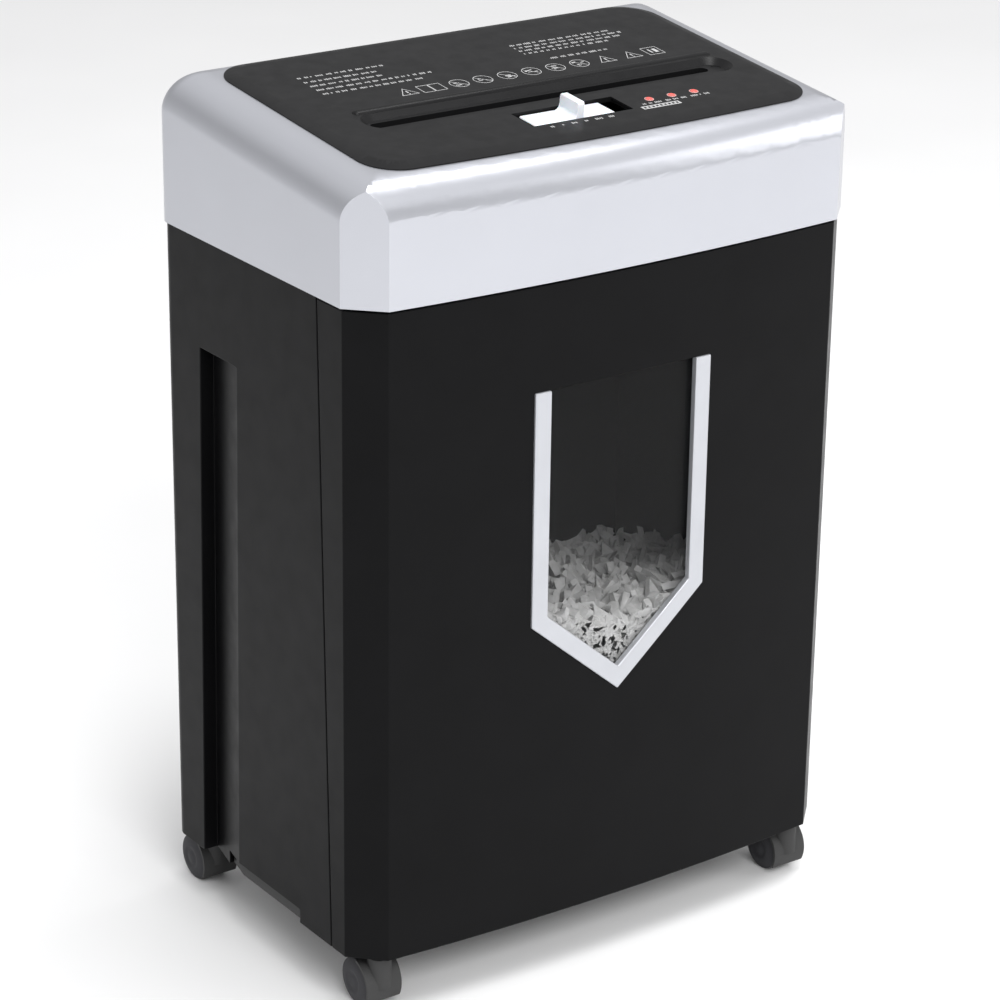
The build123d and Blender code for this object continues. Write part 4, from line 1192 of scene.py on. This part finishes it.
# ------------------------------------------------------------------------------ casters
@dataclass
class TwinCaster:
    """One twin-wheel caster, dressed from its CAD nodes."""

    corner: str
    edge: float = 0.7 * MM
    tyre_edge: float = 0.6 * MM
    rings: tuple[tuple[float, float], ...] = ((1.0, -0.5), (2.2, 0.0), (0.6, 0.4))

    def build(self) -> list[Object]:
        """Builds the hood and both wheels.

        Returns:
            The pieces.
        """
        hood_node = f"{self.corner}_caster_hood"
        pieces = [Bench.dress(hood_node, f"{self.corner}_hood", CASTER_BLACK, self.edge, angle=35.0)]
        for side, sign in (("left", -1), ("right", 1)):
            node = f"{self.corner}_caster_wheel_{side}"
            name = f"{self.corner}_wheel_{side}_tyre"
            wheel = Bench.dress(node, name, WHEEL_BLACK, self.tyre_edge, angle=32.0, flat=0.2)
            self._dish(wheel, sign)
            pieces.append(wheel)
        return pieces

    def _dish(self, wheel: Object, sign: int) -> None:
        """Presses a shallow ring into a wheel's outer face.

        Args:
            wheel: The wheel.
            sign: -1 for the left wheel, whose outer face looks to -X, and 1 for the right.
        """
        Bench.pick(wheel, lambda centre, normal: normal.x * sign > 0.999)
        for width, depth in self.rings:
            bpy.ops.mesh.inset(thickness=width * MM, depth=depth * MM)
        Bench.done()


# ------------------------------------------------------------------------------ insides
@dataclass
class Insides:
    """The nodes whose CAD shape stays, each given its finish."""

    def build(self) -> list[Object]:
        """Dresses every node that no piece has replaced.

        Returns:
            The dressed CAD nodes.
        """
        dressed = []
        for name, node in NODES.items():
            if node.hide_render:
                continue
            finish = SLOT_FINISHES[SLOT_OF_NODE[name]]
            if not node.material_slots:
                node.data.materials.append(None)
            for place in node.material_slots:
                place.material = finish.material()
            dressed.append(node)
        LOG.info("%d inner pieces dressed", len(dressed))
        return dressed


# ------------------------------------------------------------------------------ studio
@dataclass
class Studio:
    """The pale floor, the soft lights and the camera."""

    azimuth: float = radians(-35.335)
    elevation: float = radians(21.782)
    distance: float = 1.98159
    roll: float = radians(0.79)
    target: Point = (-0.00511, -0.0024, 0.24811)
    lens: float = 122.25
    floor_half: float = 9.0
    floor_depth: float = 0.02
    aim_height: float = 0.3
    world_strength: float = 0.9
    world_tint: float = 1.01

    def build(self) -> None:
        """Builds the floor, the lights, the surroundings and the camera."""
        self._floor()
        self._lights()
        self._world()
        self._camera()

    def _floor(self) -> None:
        """Lays the floor, a thin slab whose top is at the origin's height."""
        half = self.floor_half
        floor = Bench.block("floor", (-half, -half, -self.floor_depth), (half, half, 0.0))
        floor.data.materials.append(FLOOR_WHITE.material())

    def _lights(self) -> None:
        """Hangs the soft boxes, each aimed at the object's middle."""
        boxes = (
            ("key_light", (-0.6, -2.6, 2.2), (1.8, 1.2), 60.0),
            ("top_light", (0.3, -0.5, 3.0), (2.6, 0.7), 48.0),
            ("side_light", (-2.6, 0.6, 1.4), (1.2, 1.6), 10.0),
            ("fill_light", (2.4, -1.6, 1.3), (1.6, 1.6), 20.0),
        )
        for name, place, size, power in boxes:
            bpy.ops.object.light_add(type="AREA", location=place)
            light = bpy.context.object
            light.name = name
            light.data.shape = "RECTANGLE"
            light.data.size, light.data.size_y = size
            light.data.energy = power
            aim = Vector((0, 0, self.aim_height)) - Vector(place)
            light.rotation_euler = aim.to_track_quat("-Z", "Y").to_euler()

    def _world(self) -> None:
        """Lights the surroundings evenly, a little darker towards the horizon."""
        world = bpy.data.worlds.new("surroundings")
        bpy.context.scene.world = world
        world.use_nodes = True
        tree = world.node_tree
        background = tree.nodes["Background"]
        background.inputs["Strength"].default_value = self.world_strength
        coords = tree.nodes.new("ShaderNodeTexCoord")
        split = tree.nodes.new("ShaderNodeSeparateXYZ")
        ramp = tree.nodes.new("ShaderNodeValToRGB")
        tree.links.new(coords.outputs["Generated"], split.inputs["Vector"])
        tree.links.new(split.outputs["Z"], ramp.inputs["Fac"])
        tree.links.new(ramp.outputs["Color"], background.inputs["Color"])
        stops = ((0.0, 0.55), (0.25, 0.30), (0.6, 0.75), (1.0, 0.95))
        ramp.color_ramp.elements.remove(ramp.color_ramp.elements[0])
        for index, (place, shade) in enumerate(stops):
            if index:
                stop = ramp.color_ramp.elements.new(place)
            else:
                stop = ramp.color_ramp.elements[0]
                stop.position = place
            stop.color = (shade, shade, shade * self.world_tint, 1.0)

    def _camera(self) -> None:
        """Stands the camera at its place, with its small roll."""
        back = Vector((sin(self.azimuth) * cos(self.elevation),
                       -cos(self.azimuth) * cos(self.elevation), sin(self.elevation)))
        right = (-back).cross(Vector((0, 0, 1))).normalized()
        up = back.cross(right)
        level_right = right * cos(self.roll) + up * sin(self.roll)
        level_up = up * cos(self.roll) - right * sin(self.roll)
        place = Vector(self.target) + back * self.distance
        bpy.ops.object.camera_add(location=place)
        camera = bpy.context.object
        turn = Matrix((level_right, level_up, back)).transposed()
        camera.rotation_euler = turn.to_euler()
        camera.data.lens = self.lens
        camera.data.sensor_width = 36.0
        camera.data.clip_end = 50.0
        bpy.context.scene.camera = camera
        bpy.context.scene.view_settings.view_transform = "Standard"


CORNERS = ("front_left", "front_right", "rear_left", "rear_right")


def main() -> None:
    """Builds the studio and every assembly in order."""
    Studio().build()
    assemblies = [HeadShell(), FeedPanel(), PanelPrint(), ModeSwitch(), StatusLights(),
                  CabinetBody(), WasteBin(), PaperWaste()]
    assemblies += [TwinCaster(corner) for corner in CORNERS]
    assemblies.append(Insides())
    for assembly in assemblies:
        pieces = assembly.build()
        LOG.info("%s: %d pieces", type(assembly).__name__, len(pieces))


if __name__ == "__main__":
    main()
